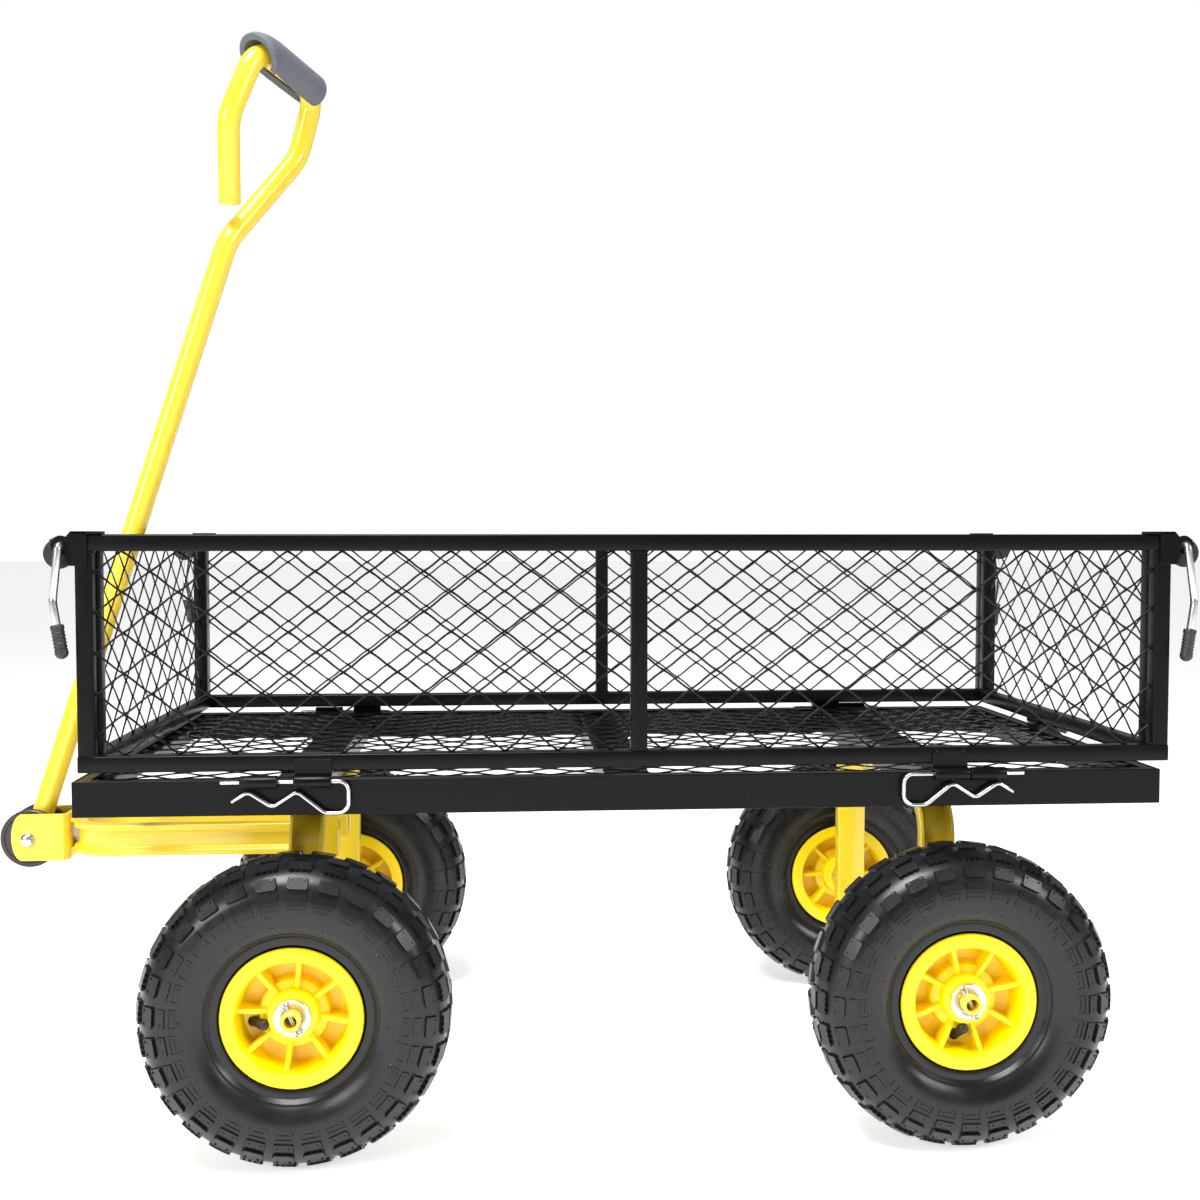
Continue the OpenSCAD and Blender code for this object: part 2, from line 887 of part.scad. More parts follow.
module clip_rear() {
    color([0.8, 0.8, 0.8])
        translate([shift_x + rear_pin_x, 44 + 2 * hinge_half + 20, pin_z])
            rotate([0, 0, 90])
                hinge_clip();
}

// ---- Wheels ----

module tyre_front_left() {
    translate([shift_x, 0, 0])
        at_wheel(front_x, -1)
            tyre();
}

module rim_front_left() {
    translate([shift_x, 0, 0])
        at_wheel(front_x, -1)
            rim(38, 3);
}

module valve_front_left() {
    translate([shift_x, 0, 0])
        at_wheel(front_x, -1)
            valve(38, 3);
}

module tyre_front_right() {
    translate([shift_x, 0, 0])
        at_wheel(front_x, 1)
            tyre();
}

module rim_front_right() {
    translate([shift_x, 0, 0])
        at_wheel(front_x, 1)
            rim(10, 0);
}

module valve_front_right() {
    translate([shift_x, 0, 0])
        at_wheel(front_x, 1)
            valve(10, 0);
}

module tyre_rear_left() {
    translate([shift_x, 0, 0])
        at_wheel(rear_x, -1)
            tyre();
}

module rim_rear_left() {
    translate([shift_x, 0, 0])
        at_wheel(rear_x, -1)
            rim(16, 5);
}

module valve_rear_left() {
    translate([shift_x, 0, 0])
        at_wheel(rear_x, -1)
            valve(16, 5);
}

module tyre_rear_right() {
    translate([shift_x, 0, 0])
        at_wheel(rear_x, 1)
            tyre();
}

module rim_rear_right() {
    translate([shift_x, 0, 0])
        at_wheel(rear_x, 1)
            rim(0, 2);
}

module valve_rear_right() {
    translate([shift_x, 0, 0])
        at_wheel(rear_x, 1)
            valve(0, 2);
}

bed_frame();
bed_mesh();
bed_knuckles();
rear_bracket();
rear_axle();
rear_keepers();
kingpin_mount();
kingpin_nut();
front_bracket();
drawbar();
front_axle();
front_keepers();
hitch_clevis();
hitch_bolt();
hitch_discs();
handle_tube();
handle_grip();
left_frame();
left_mesh();
left_knuckles();
left_latch_plates();
right_frame();
right_mesh();
right_knuckles();
right_latch_plates();
front_frame();
front_mesh();
front_knuckle();
rear_frame();
rear_mesh();
rear_knuckle();
latch_left_front();
sleeve_left_front();
latch_left_rear();
sleeve_left_rear();
latch_right_front();
sleeve_right_front();
latch_right_rear();
sleeve_right_rear();
clip_left_front();
clip_left_rear();
clip_right_front();
clip_right_rear();
clip_front();
clip_rear();
tyre_front_left();
rim_front_left();
valve_front_left();
tyre_front_right();
rim_front_right();
valve_front_right();
tyre_rear_left();
rim_rear_left();
valve_rear_left();
tyre_rear_right();
rim_rear_right();
valve_rear_right();
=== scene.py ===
import math

import bmesh
import bpy
from mathutils import Matrix, Vector


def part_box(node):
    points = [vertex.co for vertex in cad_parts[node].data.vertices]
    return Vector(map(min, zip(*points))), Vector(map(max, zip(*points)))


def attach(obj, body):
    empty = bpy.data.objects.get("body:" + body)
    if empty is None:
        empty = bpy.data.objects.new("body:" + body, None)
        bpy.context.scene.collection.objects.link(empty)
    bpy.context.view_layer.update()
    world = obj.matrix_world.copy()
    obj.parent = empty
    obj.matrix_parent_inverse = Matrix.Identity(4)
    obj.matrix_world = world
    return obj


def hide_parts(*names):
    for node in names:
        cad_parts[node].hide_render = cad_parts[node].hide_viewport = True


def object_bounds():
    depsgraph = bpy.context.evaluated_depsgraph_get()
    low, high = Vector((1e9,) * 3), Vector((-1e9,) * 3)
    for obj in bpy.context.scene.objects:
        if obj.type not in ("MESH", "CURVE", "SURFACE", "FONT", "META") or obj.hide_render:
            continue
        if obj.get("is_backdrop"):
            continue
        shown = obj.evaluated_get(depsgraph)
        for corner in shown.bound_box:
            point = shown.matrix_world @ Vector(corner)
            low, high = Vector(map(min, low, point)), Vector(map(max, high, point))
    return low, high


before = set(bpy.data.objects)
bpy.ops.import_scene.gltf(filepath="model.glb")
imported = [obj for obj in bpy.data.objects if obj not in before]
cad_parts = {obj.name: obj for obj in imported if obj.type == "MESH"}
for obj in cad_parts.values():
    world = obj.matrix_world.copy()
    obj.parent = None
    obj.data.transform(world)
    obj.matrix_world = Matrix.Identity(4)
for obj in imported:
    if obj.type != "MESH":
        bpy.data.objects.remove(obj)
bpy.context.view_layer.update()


# ---- The studio ----
# The cart stands on a white floor in a white room that lights it only weakly, so that the black
# paint stays dark. One broad soft light is above and in front, and two weaker ones to the sides.
mm = 0.001
scene = bpy.context.scene
scene.view_settings.view_transform = "Standard"
camera_place = Vector((-0.0581, -1.3708, 0.5250))
camera_down = 0.04545
camera_turn = 0.07091
camera_lens = 41.03

camera = bpy.data.objects.new("camera", bpy.data.cameras.new("camera"))
camera.location = camera_place
camera.rotation_euler = (math.pi / 2 - camera_down, 0, -camera_turn)
camera.data.lens = camera_lens
camera.data.clip_start = 0.05
scene.collection.objects.link(camera)
scene.camera = camera

room = bpy.data.worlds.new("white_room")
room.use_nodes = True
room_light = room.node_tree.nodes["Background"]
room_light.inputs["Color"].default_value = (0.94, 0.97, 1, 1)
room_light.inputs["Strength"].default_value = 0.32
room_seen = room.node_tree.nodes.new("ShaderNodeBackground")
room_seen.inputs["Color"].default_value = (1, 1, 1, 1)
seen = room.node_tree.nodes.new("ShaderNodeLightPath")
either = room.node_tree.nodes.new("ShaderNodeMixShader")
room.node_tree.links.new(seen.outputs["Is Camera Ray"], either.inputs[0])
room.node_tree.links.new(room_light.outputs[0], either.inputs[1])
room.node_tree.links.new(room_seen.outputs[0], either.inputs[2])
room.node_tree.links.new(either.outputs[0], room.node_tree.nodes["World Output"].inputs["Surface"])
scene.world = room


def soft_light(name, place, size, power):
    light = bpy.data.objects.new(name, bpy.data.lights.new(name, "AREA"))
    light.data.shape = "DISK"
    light.data.size = size
    light.data.energy = power
    light.location = place
    light.rotation_euler = (Vector((0, 0, 0.3)) - light.location).to_track_quat("-Z", "Y").to_euler()
    scene.collection.objects.link(light)


soft_light("light_above", Vector((-0.6, -0.9, 2.6)), 1.3, 92)
soft_light("light_front", Vector((-2.2, -2.2, 1.3)), 1.2, 42)
soft_light("light_right", Vector((2.4, -1.6, 1.6)), 1.2, 38)

floor_mesh = bmesh.new()
bmesh.ops.create_grid(floor_mesh, x_segments=1, y_segments=1, size=30)
floor_data = bpy.data.meshes.new("floor")
floor_mesh.to_mesh(floor_data)
floor_mesh.free()
floor = bpy.data.objects.new("floor", floor_data)
scene.collection.objects.link(floor)
floor_white = bpy.data.materials.new("floor_white")
floor_white.use_nodes = True
floor_shader = floor_white.node_tree.nodes["Principled BSDF"]
floor_shader.inputs["Base Color"].default_value = (0.93, 0.93, 0.93, 1)
floor_shader.inputs["Roughness"].default_value = 1.0
floor_shader.inputs["Specular IOR Level"].default_value = 0.0
floor_shader.inputs["Emission Color"].default_value = (1, 1, 1, 1)
floor_shader.inputs["Emission Strength"].default_value = 0.6
floor_data.materials.append(floor_white)
floor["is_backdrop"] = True


# ---- The bed's rim ----
# Steel angle mitred and welded into a rectangle, with its upright leg showing as a skirt, and
# three box tubes across it. All of it is sprayed with semi-gloss black.
def finish(name, dark, light, patch, roughness, spread, grain, depth, metallic=0.0, coat=0.0,
        shine=0.5):
    """A finish that drifts between two tones in patches, over a fine grain."""
    made = bpy.data.materials.new(name)
    made.use_nodes = True
    nodes = made.node_tree.nodes
    links = made.node_tree.links
    shader = nodes["Principled BSDF"]
    shader.inputs["Metallic"].default_value = metallic
    shader.inputs["Specular IOR Level"].default_value = shine
    shader.inputs["Coat Weight"].default_value = coat
    shader.inputs["Coat Roughness"].default_value = 0.08
    place = nodes.new("ShaderNodeTexCoord")
    patches = nodes.new("ShaderNodeTexNoise")
    patches.inputs["Scale"].default_value = 1 / patch
    patches.inputs["Detail"].default_value = 5
    links.new(place.outputs["Object"], patches.inputs["Vector"])
    tone = nodes.new("ShaderNodeMix")
    tone.data_type = "RGBA"
    tone.inputs[6].default_value = (*dark, 1)
    tone.inputs[7].default_value = (*light, 1)
    links.new(patches.outputs["Fac"], tone.inputs[0])
    links.new(tone.outputs[2], shader.inputs["Base Color"])
    dull = nodes.new("ShaderNodeMapRange")
    dull.inputs["From Min"].default_value = 0.3
    dull.inputs["From Max"].default_value = 0.7
    dull.inputs["To Min"].default_value = roughness - spread
    dull.inputs["To Max"].default_value = roughness + spread
    links.new(patches.outputs["Fac"], dull.inputs["Value"])
    links.new(dull.outputs["Result"], shader.inputs["Roughness"])
    speckle = nodes.new("ShaderNodeTexNoise")
    speckle.inputs["Scale"].default_value = 1 / grain
    speckle.inputs["Detail"].default_value = 3
    links.new(place.outputs["Object"], speckle.inputs["Vector"])
    bump = nodes.new("ShaderNodeBump")
    bump.inputs["Strength"].default_value = 0.35
    bump.inputs["Distance"].default_value = depth
    links.new(speckle.outputs["Fac"], bump.inputs["Height"])
    links.new(bump.outputs["Normal"], shader.inputs["Normal"])
    return made


def piece(name, mesh, look, body, slot, *nodes, edge=0.0, sharp=35):
    """Makes the mesh a piece of the cart, with its edges eased by that much."""
    bmesh.ops.recalc_face_normals(mesh, faces=mesh.faces)
    data = bpy.data.meshes.new(name)
    mesh.to_mesh(data)
    mesh.free()
    data.polygons.foreach_set("use_smooth", [True] * len(data.polygons))
    data.set_sharp_from_angle(angle=math.radians(sharp))
    data.materials.append(look)
    made = bpy.data.objects.new(name, data)
    scene.collection.objects.link(made)
    if edge:
        ease = made.modifiers.new("eased_edges", "BEVEL")
        ease.width = edge
        ease.segments = 2
        ease.limit_method = "ANGLE"
        ease.angle_limit = math.radians(38)
        ease.harden_normals = True
    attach(made, body)
    if nodes:
        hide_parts(*nodes)
    return made


def swept(mesh, section, path, up, closed=False, sizes=None, caps=True):
    """Runs a section of (outward, upward) points along a flat path whose plane faces up."""
    up = Vector(up).normalized()
    path = [Vector(p) for p in path]
    count = len(path)
    rings = []
    for i, point in enumerate(path):
        sides = []
        if closed or i > 0:
            sides.append((point - path[i - 1]).normalized().cross(up))
        if closed or i < count - 1:
            sides.append((path[(i + 1) % count] - point).normalized().cross(up))
        out = (sides[0] + sides[-1]).normalized()
        out = out / out.dot(sides[0])
        size = sizes[i] if sizes else 1.0
        rings.append([mesh.verts.new(point + size * (a * out + b * up)) for a, b in section])
    steps = count if closed else count - 1
    corners = len(section)
    for i in range(steps):
        here = rings[i]
        there = rings[(i + 1) % count]
        for k in range(corners):
            mesh.faces.new((here[k], there[k], there[(k + 1) % corners], here[(k + 1) % corners]))
    if caps and not closed:
        mesh.faces.new(rings[0])
        mesh.faces.new(rings[-1][::-1])
    return rings


def band(mesh, here, there):
    """Joins two rings of the same number of corners with a band of faces."""
    for k in range(len(here)):
        n = (k + 1) % len(here)
        mesh.faces.new((here[k], here[n], there[n], there[k]))


def block(mesh, one, other):
    """A plain cuboid between two opposite corners, its edges rounded by the piece's edge easing."""
    low = Vector([min(a, b) for a, b in zip(one, other)])
    high = Vector([max(a, b) for a, b in zip(one, other)])
    size = high - low
    place = Matrix.Translation((low + high) / 2) @ Matrix.Diagonal((*size, 1))
    return bmesh.ops.create_cube(mesh, size=1, matrix=place)["verts"]


def weld(mesh, start, end, radius=1.6 * mm):
    """A rippled bead of weld between two points."""
    start = Vector(start)
    end = Vector(end)
    way = end - start
    up = way.orthogonal()
    count = max(4, round(way.length / (1.3 * mm)))
    path = [start + way * i / count for i in range(count + 1)]
    ripple = [0.35 if i in (0, count) else 0.85 + 0.25 * (i % 2) for i in range(count + 1)]
    section = [(radius * math.cos(t * math.pi / 4), radius * math.sin(t * math.pi / 4)) for t in range(8)]
    swept(mesh, section, path, up, sizes=ripple)


black_paint = finish("black_paint", (0.002, 0.002, 0.0022), (0.004, 0.004, 0.0044),
    0.05, 0.27, 0.05, 0.9 * mm, 0.05 * mm, shine=0.15)

rim_low, rim_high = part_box("bed_frame")
angle_wall = 2.5 * mm
angle_shelf = 25 * mm
floor_thick = 2 * mm
shelf_top = rim_high.z - floor_thick
cross_width = 40 * mm
front_axle_x = (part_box("front_axle")[0].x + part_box("front_axle")[1].x) / 2
rear_axle_x = (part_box("rear_axle")[0].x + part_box("rear_axle")[1].x) / 2
bed_middle = (rim_low.x + rim_high.x) / 2

rim = bmesh.new()
depth = rim_high.z - rim_low.z
swept(rim, [(0, 0), (0, depth), (-angle_wall, depth), (-angle_wall, depth - floor_thick),
    (-angle_shelf, depth - floor_thick), (-angle_shelf, depth - floor_thick - angle_wall),
    (-angle_wall, depth - floor_thick - angle_wall), (-angle_wall, 0)],
    [(rim_low.x, rim_low.y, rim_low.z), (rim_high.x, rim_low.y, rim_low.z),
    (rim_high.x, rim_high.y, rim_low.z), (rim_low.x, rim_high.y, rim_low.z)], (0, 0, 1), closed=True)
for x in (front_axle_x, bed_middle, rear_axle_x):
    block(rim, (x - cross_width / 2, rim_low.y + angle_wall, rim_low.z),
        (x + cross_width / 2, rim_high.y - angle_wall, shelf_top - angle_wall - 0.1 * mm))
piece("bed_rim", rim, black_paint, "bed", "black_paint", "bed_frame", edge=0.9 * mm)

rim_welds = bmesh.new()
for x in (front_axle_x, bed_middle, rear_axle_x):
    for y in (rim_low.y + angle_wall, rim_high.y - angle_wall):
        for side in (-1, 1):
            at = x + side * cross_width / 2
            weld(rim_welds, (at, y, rim_low.z + 2 * mm), (at, y, shelf_top - 4 * mm))
for x in (rim_low.x, rim_high.x):
    for y in (rim_low.y, rim_high.y):
        inward = Vector((bed_middle - x, -y, 0))
        inward = Vector((math.copysign(1, inward.x), math.copysign(1, inward.y), 0))
        corner = Vector((x, y, shelf_top - angle_wall)) + 2.5 * mm * inward
        weld(rim_welds, corner, corner + inward * (angle_shelf - 3 * mm))
        weld(rim_welds, corner - Vector((0, 0, 24 * mm)), corner)
piece("bed_rim_welds", rim_welds, black_paint, "bed", "black_paint")


# ---- The bed's floor ----
# A sheet of expanded steel: a slit and stretched plate whose thin strands twist from one bond to
# the next round diamond holes. It is sprayed black and welded down along the rim's shelf.
def expanded(mesh, corner, along, across, width, height, cell=(44.8 * mm, 33 * mm), strand=0.9 * mm):
    """A net of twisted strands over width along one way and height across it."""
    along = Vector(along)
    across = Vector(across)
    out = along.cross(across)
    columns = round(width / cell[0])
    rows = round(height / cell[1])
    step_x = width / columns
    step_y = height / rows
    rings = 7
    sides = 6
    for column in range(columns):
        for row in range(rows):
            for half_x, half_y in ((0, 0), (0, 1), (1, 0), (1, 1)):
                # from the cell's left or right tip to its lower or upper tip
                start = ((column + half_x) * step_x, (row + 0.5) * step_y)
                end = ((column + 0.5) * step_x, (row + half_y) * step_y)
                flow = 1 if half_x == 0 else -1
                before = None
                for i in range(rings):
                    t = i / (rings - 1)
                    slow = t + 0.03 * math.sin(2 * math.pi * t) / math.pi
                    bent = t - 0.05 * math.sin(2 * math.pi * t) / math.pi
                    x = start[0] + (end[0] - start[0]) * slow
                    y = start[1] + (end[1] - start[1]) * bent
                    way = Vector((end[0] - start[0], end[1] - start[1])).normalized()
                    normal = along * -way.y + across * way.x
                    twist = math.radians(38) * (1 - 2 * t) * flow * (1 if half_y else -1)
                    broad = normal * math.cos(twist) + out * math.sin(twist)
                    thin = out * math.cos(twist) - normal * math.sin(twist)
                    bond = 1 + 0.5 * (2 * abs(t - 0.5)) ** 6
                    middle = corner + along * x + across * y
                    ring = []
                    for k in range(sides):
                        turn = 2 * math.pi * k / sides
                        ring.append(mesh.verts.new(middle + broad * strand * bond * math.cos(turn)
                            + thin * 0.75 * mm * math.sin(turn)))
                    if before:
                        for k in range(sides):
                            n = (k + 1) % sides
                            mesh.faces.new((before[k], ring[k], ring[n], before[n]))
                    else:
                        mesh.faces.new(ring)
                    before = ring
                mesh.faces.new(before)


black_net = finish("black_net", (0.002, 0.002, 0.0022), (0.005, 0.005, 0.0055),
    0.03, 0.30, 0.06, 0.6 * mm, 0.05 * mm, shine=0.2)

net_low, net_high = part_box("bed_mesh")
net_lip = 10 * mm
net_hem = 9 * mm
bed_net = bmesh.new()
expanded(bed_net, Vector((net_low.x + net_lip, net_low.y + net_lip, net_high.z - 1 * mm)),
    (1, 0, 0), (0, 1, 0), net_high.x - net_low.x - 2 * net_lip, net_high.y - net_low.y - 2 * net_lip)
swept(bed_net, [(0, 0), (0, 1.4 * mm), (-net_hem, 1.4 * mm), (-net_hem, 0)],
    [(net_low.x, net_low.y, net_low.z), (net_high.x, net_low.y, net_low.z),
    (net_high.x, net_high.y, net_low.z), (net_low.x, net_high.y, net_low.z)], (0, 0, 1), closed=True)
piece("bed_net", bed_net, black_net, "bed", "black_mesh", "bed_mesh", sharp=60)


# ---- The four sides ----
# Each side is a frame of thin square steel tube with a sheet of expanded steel welded in behind
# its rails. The long ones have a post in the middle as well. All is sprayed black.
tube = 14 * mm
tube_wall = 1.5 * mm


def square(half, round_by, steps=3):
    """The outline of a square tube with rounded edges."""
    points = []
    for quarter in range(4):
        for i in range(steps + 1):
            turn = math.pi / 2 * (quarter + i / steps)
            mid = math.pi / 2 * quarter + math.pi / 4
            centre = (half - round_by) * math.sqrt(2)
            points.append((centre * math.cos(mid) + round_by * math.cos(turn),
                centre * math.sin(mid) + round_by * math.sin(turn)))
    return points


def square_tube(mesh, start, end, up, open_ends=True):
    """A length of square tube between the middles of its ends, hollow for a little way in."""
    start = Vector(start)
    end = Vector(end)
    outer = square(tube / 2, 1.8 * mm)
    inner = square(tube / 2 - tube_wall, 0.7 * mm)
    rings = swept(mesh, outer, [start, end], up, caps=not open_ends)
    if not open_ends:
        return
    inset = (end - start).normalized() * 26 * mm
    for ring, tip, deep in ((rings[0], start, start + inset), (rings[1], end, end - inset)):
        side = (end - start).normalized().cross(Vector(up).normalized())
        lip = [mesh.verts.new(tip + a * side + b * Vector(up)) for a, b in inner]
        back = [mesh.verts.new(deep + a * side + b * Vector(up)) for a, b in inner]
        band(mesh, ring, lip)
        band(mesh, lip, back)
        mesh.faces.new(back)


def side_frame(name, body, frame_node, net_node, along, post):
    """One side's frame, welds and net; along is the way that its rails run."""
    low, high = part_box(frame_node)
    along = Vector(along)
    across = Vector((0, 0, 1)).cross(along)
    middle = (low + high) / 2
    length = (high - low).dot(Vector((abs(along.x), abs(along.y), 0)))
    made = bmesh.new()
    beads = bmesh.new()
    for z in (low.z + tube / 2, high.z - tube / 2):
        rail = Vector((middle.x, middle.y, z))
        square_tube(made, rail - along * length / 2, rail + along * length / 2, (0, 0, 1))
    places = [-length / 2 + tube / 2, length / 2 - tube / 2]
    if post:
        places.append(1 * mm)
    for at in places:
        foot = Vector((middle.x, middle.y, low.z + tube)) + along * at
        head = Vector((middle.x, middle.y, high.z - tube)) + along * at
        square_tube(made, foot, head, along, open_ends=False)
        for z in (low.z + tube, high.z - tube):
            for side in (-1, 1):
                corner = Vector((middle.x, middle.y, z)) + along * (at + side * (tube / 2 - 0.4 * mm))
                if abs(at + side * tube / 2) < length / 2 - 1 * mm:
                    weld(beads, corner - across * 4.5 * mm, corner + across * 4.5 * mm, 1.5 * mm)
    piece(name + "_frame", made, black_paint, body, "black_paint", frame_node)
    piece(name + "_welds", beads, black_paint, body, "black_paint")
    net = bmesh.new()
    net_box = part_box(net_node)
    inside = (net_box[0] + net_box[1]) / 2
    wide = length - 2 * tube
    tall = net_box[1].z - net_box[0].z
    corner = Vector((inside.x, inside.y, net_box[0].z)) - along * wide / 2
    expanded(net, corner, along, (0, 0, 1), wide, tall)
    piece(name + "_net", net, black_net, body, "black_mesh", net_node, sharp=60)


side_frame("left_side", "left_panel", "left_frame", "left_mesh", (1, 0, 0), True)
side_frame("right_side", "right_panel", "right_frame", "right_mesh", (1, 0, 0), True)
side_frame("front_end", "bed", "front_frame", "front_mesh", (0, 1, 0), False)
side_frame("rear_end", "rear_panel", "rear_frame", "rear_mesh", (0, 1, 0), False)


# ---- The hinge knuckles ----
# Short steel tubes welded in pairs along each hinge: one to the bed's rim, and one on a strap up
# the side's bottom rail. They are sprayed with what they are welded to.
def round_section(radius, sides=14):
    return [(radius * math.cos(2 * math.pi * k / sides), radius * math.sin(2 * math.pi * k / sides))
        for k in range(sides)]


def knuckle(mesh, start, end, up, outer=5.5 * mm, bore=2.15 * mm):
    """A short tube between two points with slightly rounded ends."""
    start = Vector(start)
    end = Vector(end)
    way = (end - start).normalized()
    lip = 0.8 * mm
    outline = [(bore, 0), (outer - lip, 0), (outer - 0.25 * lip, 0.25 * lip), (outer, lip)]
    length = (end - start).length
    outline = outline + [(r, length - x) for r, x in reversed(outline)]
    side = way.cross(Vector(up)).normalized()
    top = side.cross(way)
    sides = 24
    rings = []
    for k in range(sides):
        turn = 2 * math.pi * k / sides
        arm = side * math.cos(turn) + top * math.sin(turn)
        rings.append([mesh.verts.new(start + way * x + arm * r) for r, x in outline])
    count = len(outline)
    for k in range(sides):
        here = rings[k]
        there = rings[(k + 1) % sides]
        for i in range(count):
            mesh.faces.new((here[i], there[i], there[(i + 1) % count], here[(i + 1) % count]))


knuckle_radius = 5.5 * mm
knuckle_length = 31 * mm
pin_z = 323 * mm


def hinge_half(name, body, node, way, inward, centres, rail_face, slot_body):
    """The knuckles of one node: tubes along way at their centres, joined inward to a face."""
    made = bmesh.new()
    beads = bmesh.new()
    way = Vector(way)
    inward = Vector(inward)
    for centre in centres:
        centre = Vector(centre)
        reach = abs((Vector(rail_face) - centre).dot(inward))
        knuckle(made, centre - way * knuckle_length / 2, centre + way * knuckle_length / 2, (0, 0, 1))
        ends = [centre - way * knuckle_length / 2, centre + way * knuckle_length / 2]
        if slot_body == "bed":
            low = ends[0] + inward * 2 * mm - Vector((0, 0, 5 * mm))
            high = ends[1] + inward * reach + Vector((0, 0, 1 * mm))
            bead_z = -5.5 * mm
        else:
            low = ends[0] + inward * (reach - 2 * mm) + Vector((0, 0, (3.2 if reach > 8 * mm else 0) * mm))
            high = ends[1] + inward * (reach + 0.2 * mm) + Vector((0, 0, 18 * mm))
            bead_z = 18.5 * mm
            if reach > 8 * mm:
                shelf_low = ends[0] + Vector((0, 0, 3.2 * mm))
                shelf_high = ends[1] + inward * reach + Vector((0, 0, 5.4 * mm))
                block(made, shelf_low, shelf_high)
        block(made, low, high)
        line = inward * (reach - 0.5 * mm) + Vector((0, 0, bead_z))
        weld(beads, ends[0] + line + way * 2 * mm, ends[1] + line - way * 2 * mm)
    piece(name, made, black_paint, body, "black_paint", node, edge=0.5 * mm)
    piece(name + "_welds", beads, black_paint, body, "black_paint")


bed_knuckle_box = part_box("bed_knuckles")
side_pin = bed_knuckle_box[1].y - knuckle_radius
front_pin = bed_knuckle_box[0].x + knuckle_radius
rear_pin = bed_knuckle_box[1].x - knuckle_radius
left_knuckle_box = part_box("left_knuckles")
side_knuckles = (left_knuckle_box[0].x + knuckle_length / 2, left_knuckle_box[1].x - knuckle_length / 2)
hinge_step = 37.8 * mm
shift = 6 * mm
bed_side_knuckles = (side_knuckles[0] - shift - hinge_step, side_knuckles[1] - shift + hinge_step)
end_knuckle = 44 * mm

for name, side in (("left", -1), ("right", 1)):
    frame_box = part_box(name + "_frame")
    face = frame_box[0].y if side < 0 else frame_box[1].y
    hinge_half(name + "_side_knuckles", name + "_panel", name + "_knuckles", (1, 0, 0), (0, -side, 0),
        [(x, side * side_pin, pin_z) for x in side_knuckles], (0, face, pin_z), "panel")
    hinge_half("bed_" + name + "_knuckles", "bed", "bed_knuckles", (1, 0, 0), (0, -side, 0),
        [(x, side * side_pin, pin_z) for x in bed_side_knuckles], (0, side * rim_high.y, pin_z), "bed")
for name, at, side, rim_x in (("front", front_pin, -1, rim_low.x), ("rear", rear_pin, 1, rim_high.x)):
    frame_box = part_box(name + "_frame")
    face = frame_box[0].x if side < 0 else frame_box[1].x
    body = "bed" if name == "front" else "rear_panel"
    hinge_half(name + "_end_knuckle", body, name + "_knuckle", (0, 1, 0), (-side, 0, 0),
        [(at, end_knuckle + hinge_step, pin_z)], (face, 0, pin_z), "panel")
    hinge_half("bed_" + name + "_knuckle", "bed", "bed_knuckles", (0, 1, 0), (-side, 0, 0),
        [(at, end_knuckle, pin_z)], (rim_x, 0, pin_z), "bed")


# ---- The hinge clips ----
# Zinc-plated spring wire bent into hair-pin clips: the straight leg is the hinge's pin, and the
# waved leg springs back under it to hold the clip in.
def eased(points, bend, steps=8):
    """The path with each corner turned into an arc of that radius, or of its own from a list."""
    points = [Vector(p) for p in points]
    path = [points[0]]
    bends = bend if isinstance(bend, list) else [bend] * len(points)
    for before, corner, after, bend in zip(points, points[1:], points[2:], bends):
        back = (before - corner).normalized()
        ahead = (after - corner).normalized()
        half = math.acos(max(-1.0, min(1.0, back.dot(ahead)))) / 2
        reach = bend / math.tan(half)
        centre = corner + (back + ahead).normalized() * bend / math.sin(half)
        first = corner + back * reach - centre
        last = corner + ahead * reach - centre
        sweep = first.angle(last)
        count = max(2, math.ceil(steps * sweep / (math.pi / 2)))
        for i in range(count + 1):
            t = i / count
            path.append(centre + (first * math.sin((1 - t) * sweep) + last * math.sin(t * sweep))
                / math.sin(sweep))
    path.append(points[-1])
    return path


def wire(mesh, path, radius, up, sides=12):
    """Round wire along a flat path, with its two ends rounded off."""
    path = [Vector(p) for p in path]
    first = (path[1] - path[0]).normalized()
    last = (path[-1] - path[-2]).normalized()
    head = [path[0] - first * radius * 0.45, path[0] - first * radius * 0.25]
    tail = [path[-1] + last * radius * 0.25, path[-1] + last * radius * 0.45]
    sizes = [0.45, 0.85] + [1.0] * len(path) + [0.85, 0.45]
    swept(mesh, round_section(radius, sides), head + path + tail, up, sizes=sizes)


zinc = finish("zinc", (0.50, 0.50, 0.50), (0.66, 0.66, 0.67), 0.012, 0.26, 0.08, 0.5 * mm, 0.03 * mm,
    metallic=1.0)

clip_wire = 1.8 * mm
clip_points = [(-99, 0), (5.5, 0), (5.5, -26.5), (-14, -26.5), (-37, -8), (-57, -21), (-77, -8), (-90, -16)]
clip_bends = [8 * mm, 9.5 * mm, 9 * mm, 6 * mm, 6 * mm, 6 * mm]
clip_straight = 99 * mm


def hinge_clip(name, node, origin, way):
    """A clip whose straight leg runs back from its eye; way points to the eye."""
    way = Vector(way)
    corners = [Vector(origin) + way * x * mm + Vector((0, 0, z * mm)) for x, z in clip_points]
    made = bmesh.new()
    wire(made, eased(corners, clip_bends), clip_wire, way.cross(Vector((0, 0, 1))))
    piece(name, made, zinc, node, "zinc", node)


for end, way in (("front", 1), ("rear", -1)):
    for name, side in (("left", -1), ("right", 1)):
        node = "clip_%s_%s" % (name, end)
        low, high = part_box(node)
        tail = low.x if way > 0 else high.x
        hinge_clip("hinge_" + node, node, (tail + way * clip_straight, side * side_pin, pin_z), (way, 0, 0))
for end, at in (("front", front_pin), ("rear", rear_pin)):
    node = "clip_" + end
    hinge_clip("hinge_" + node, node, (at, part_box(node)[0].y + clip_straight, pin_z), (0, 1, 0))


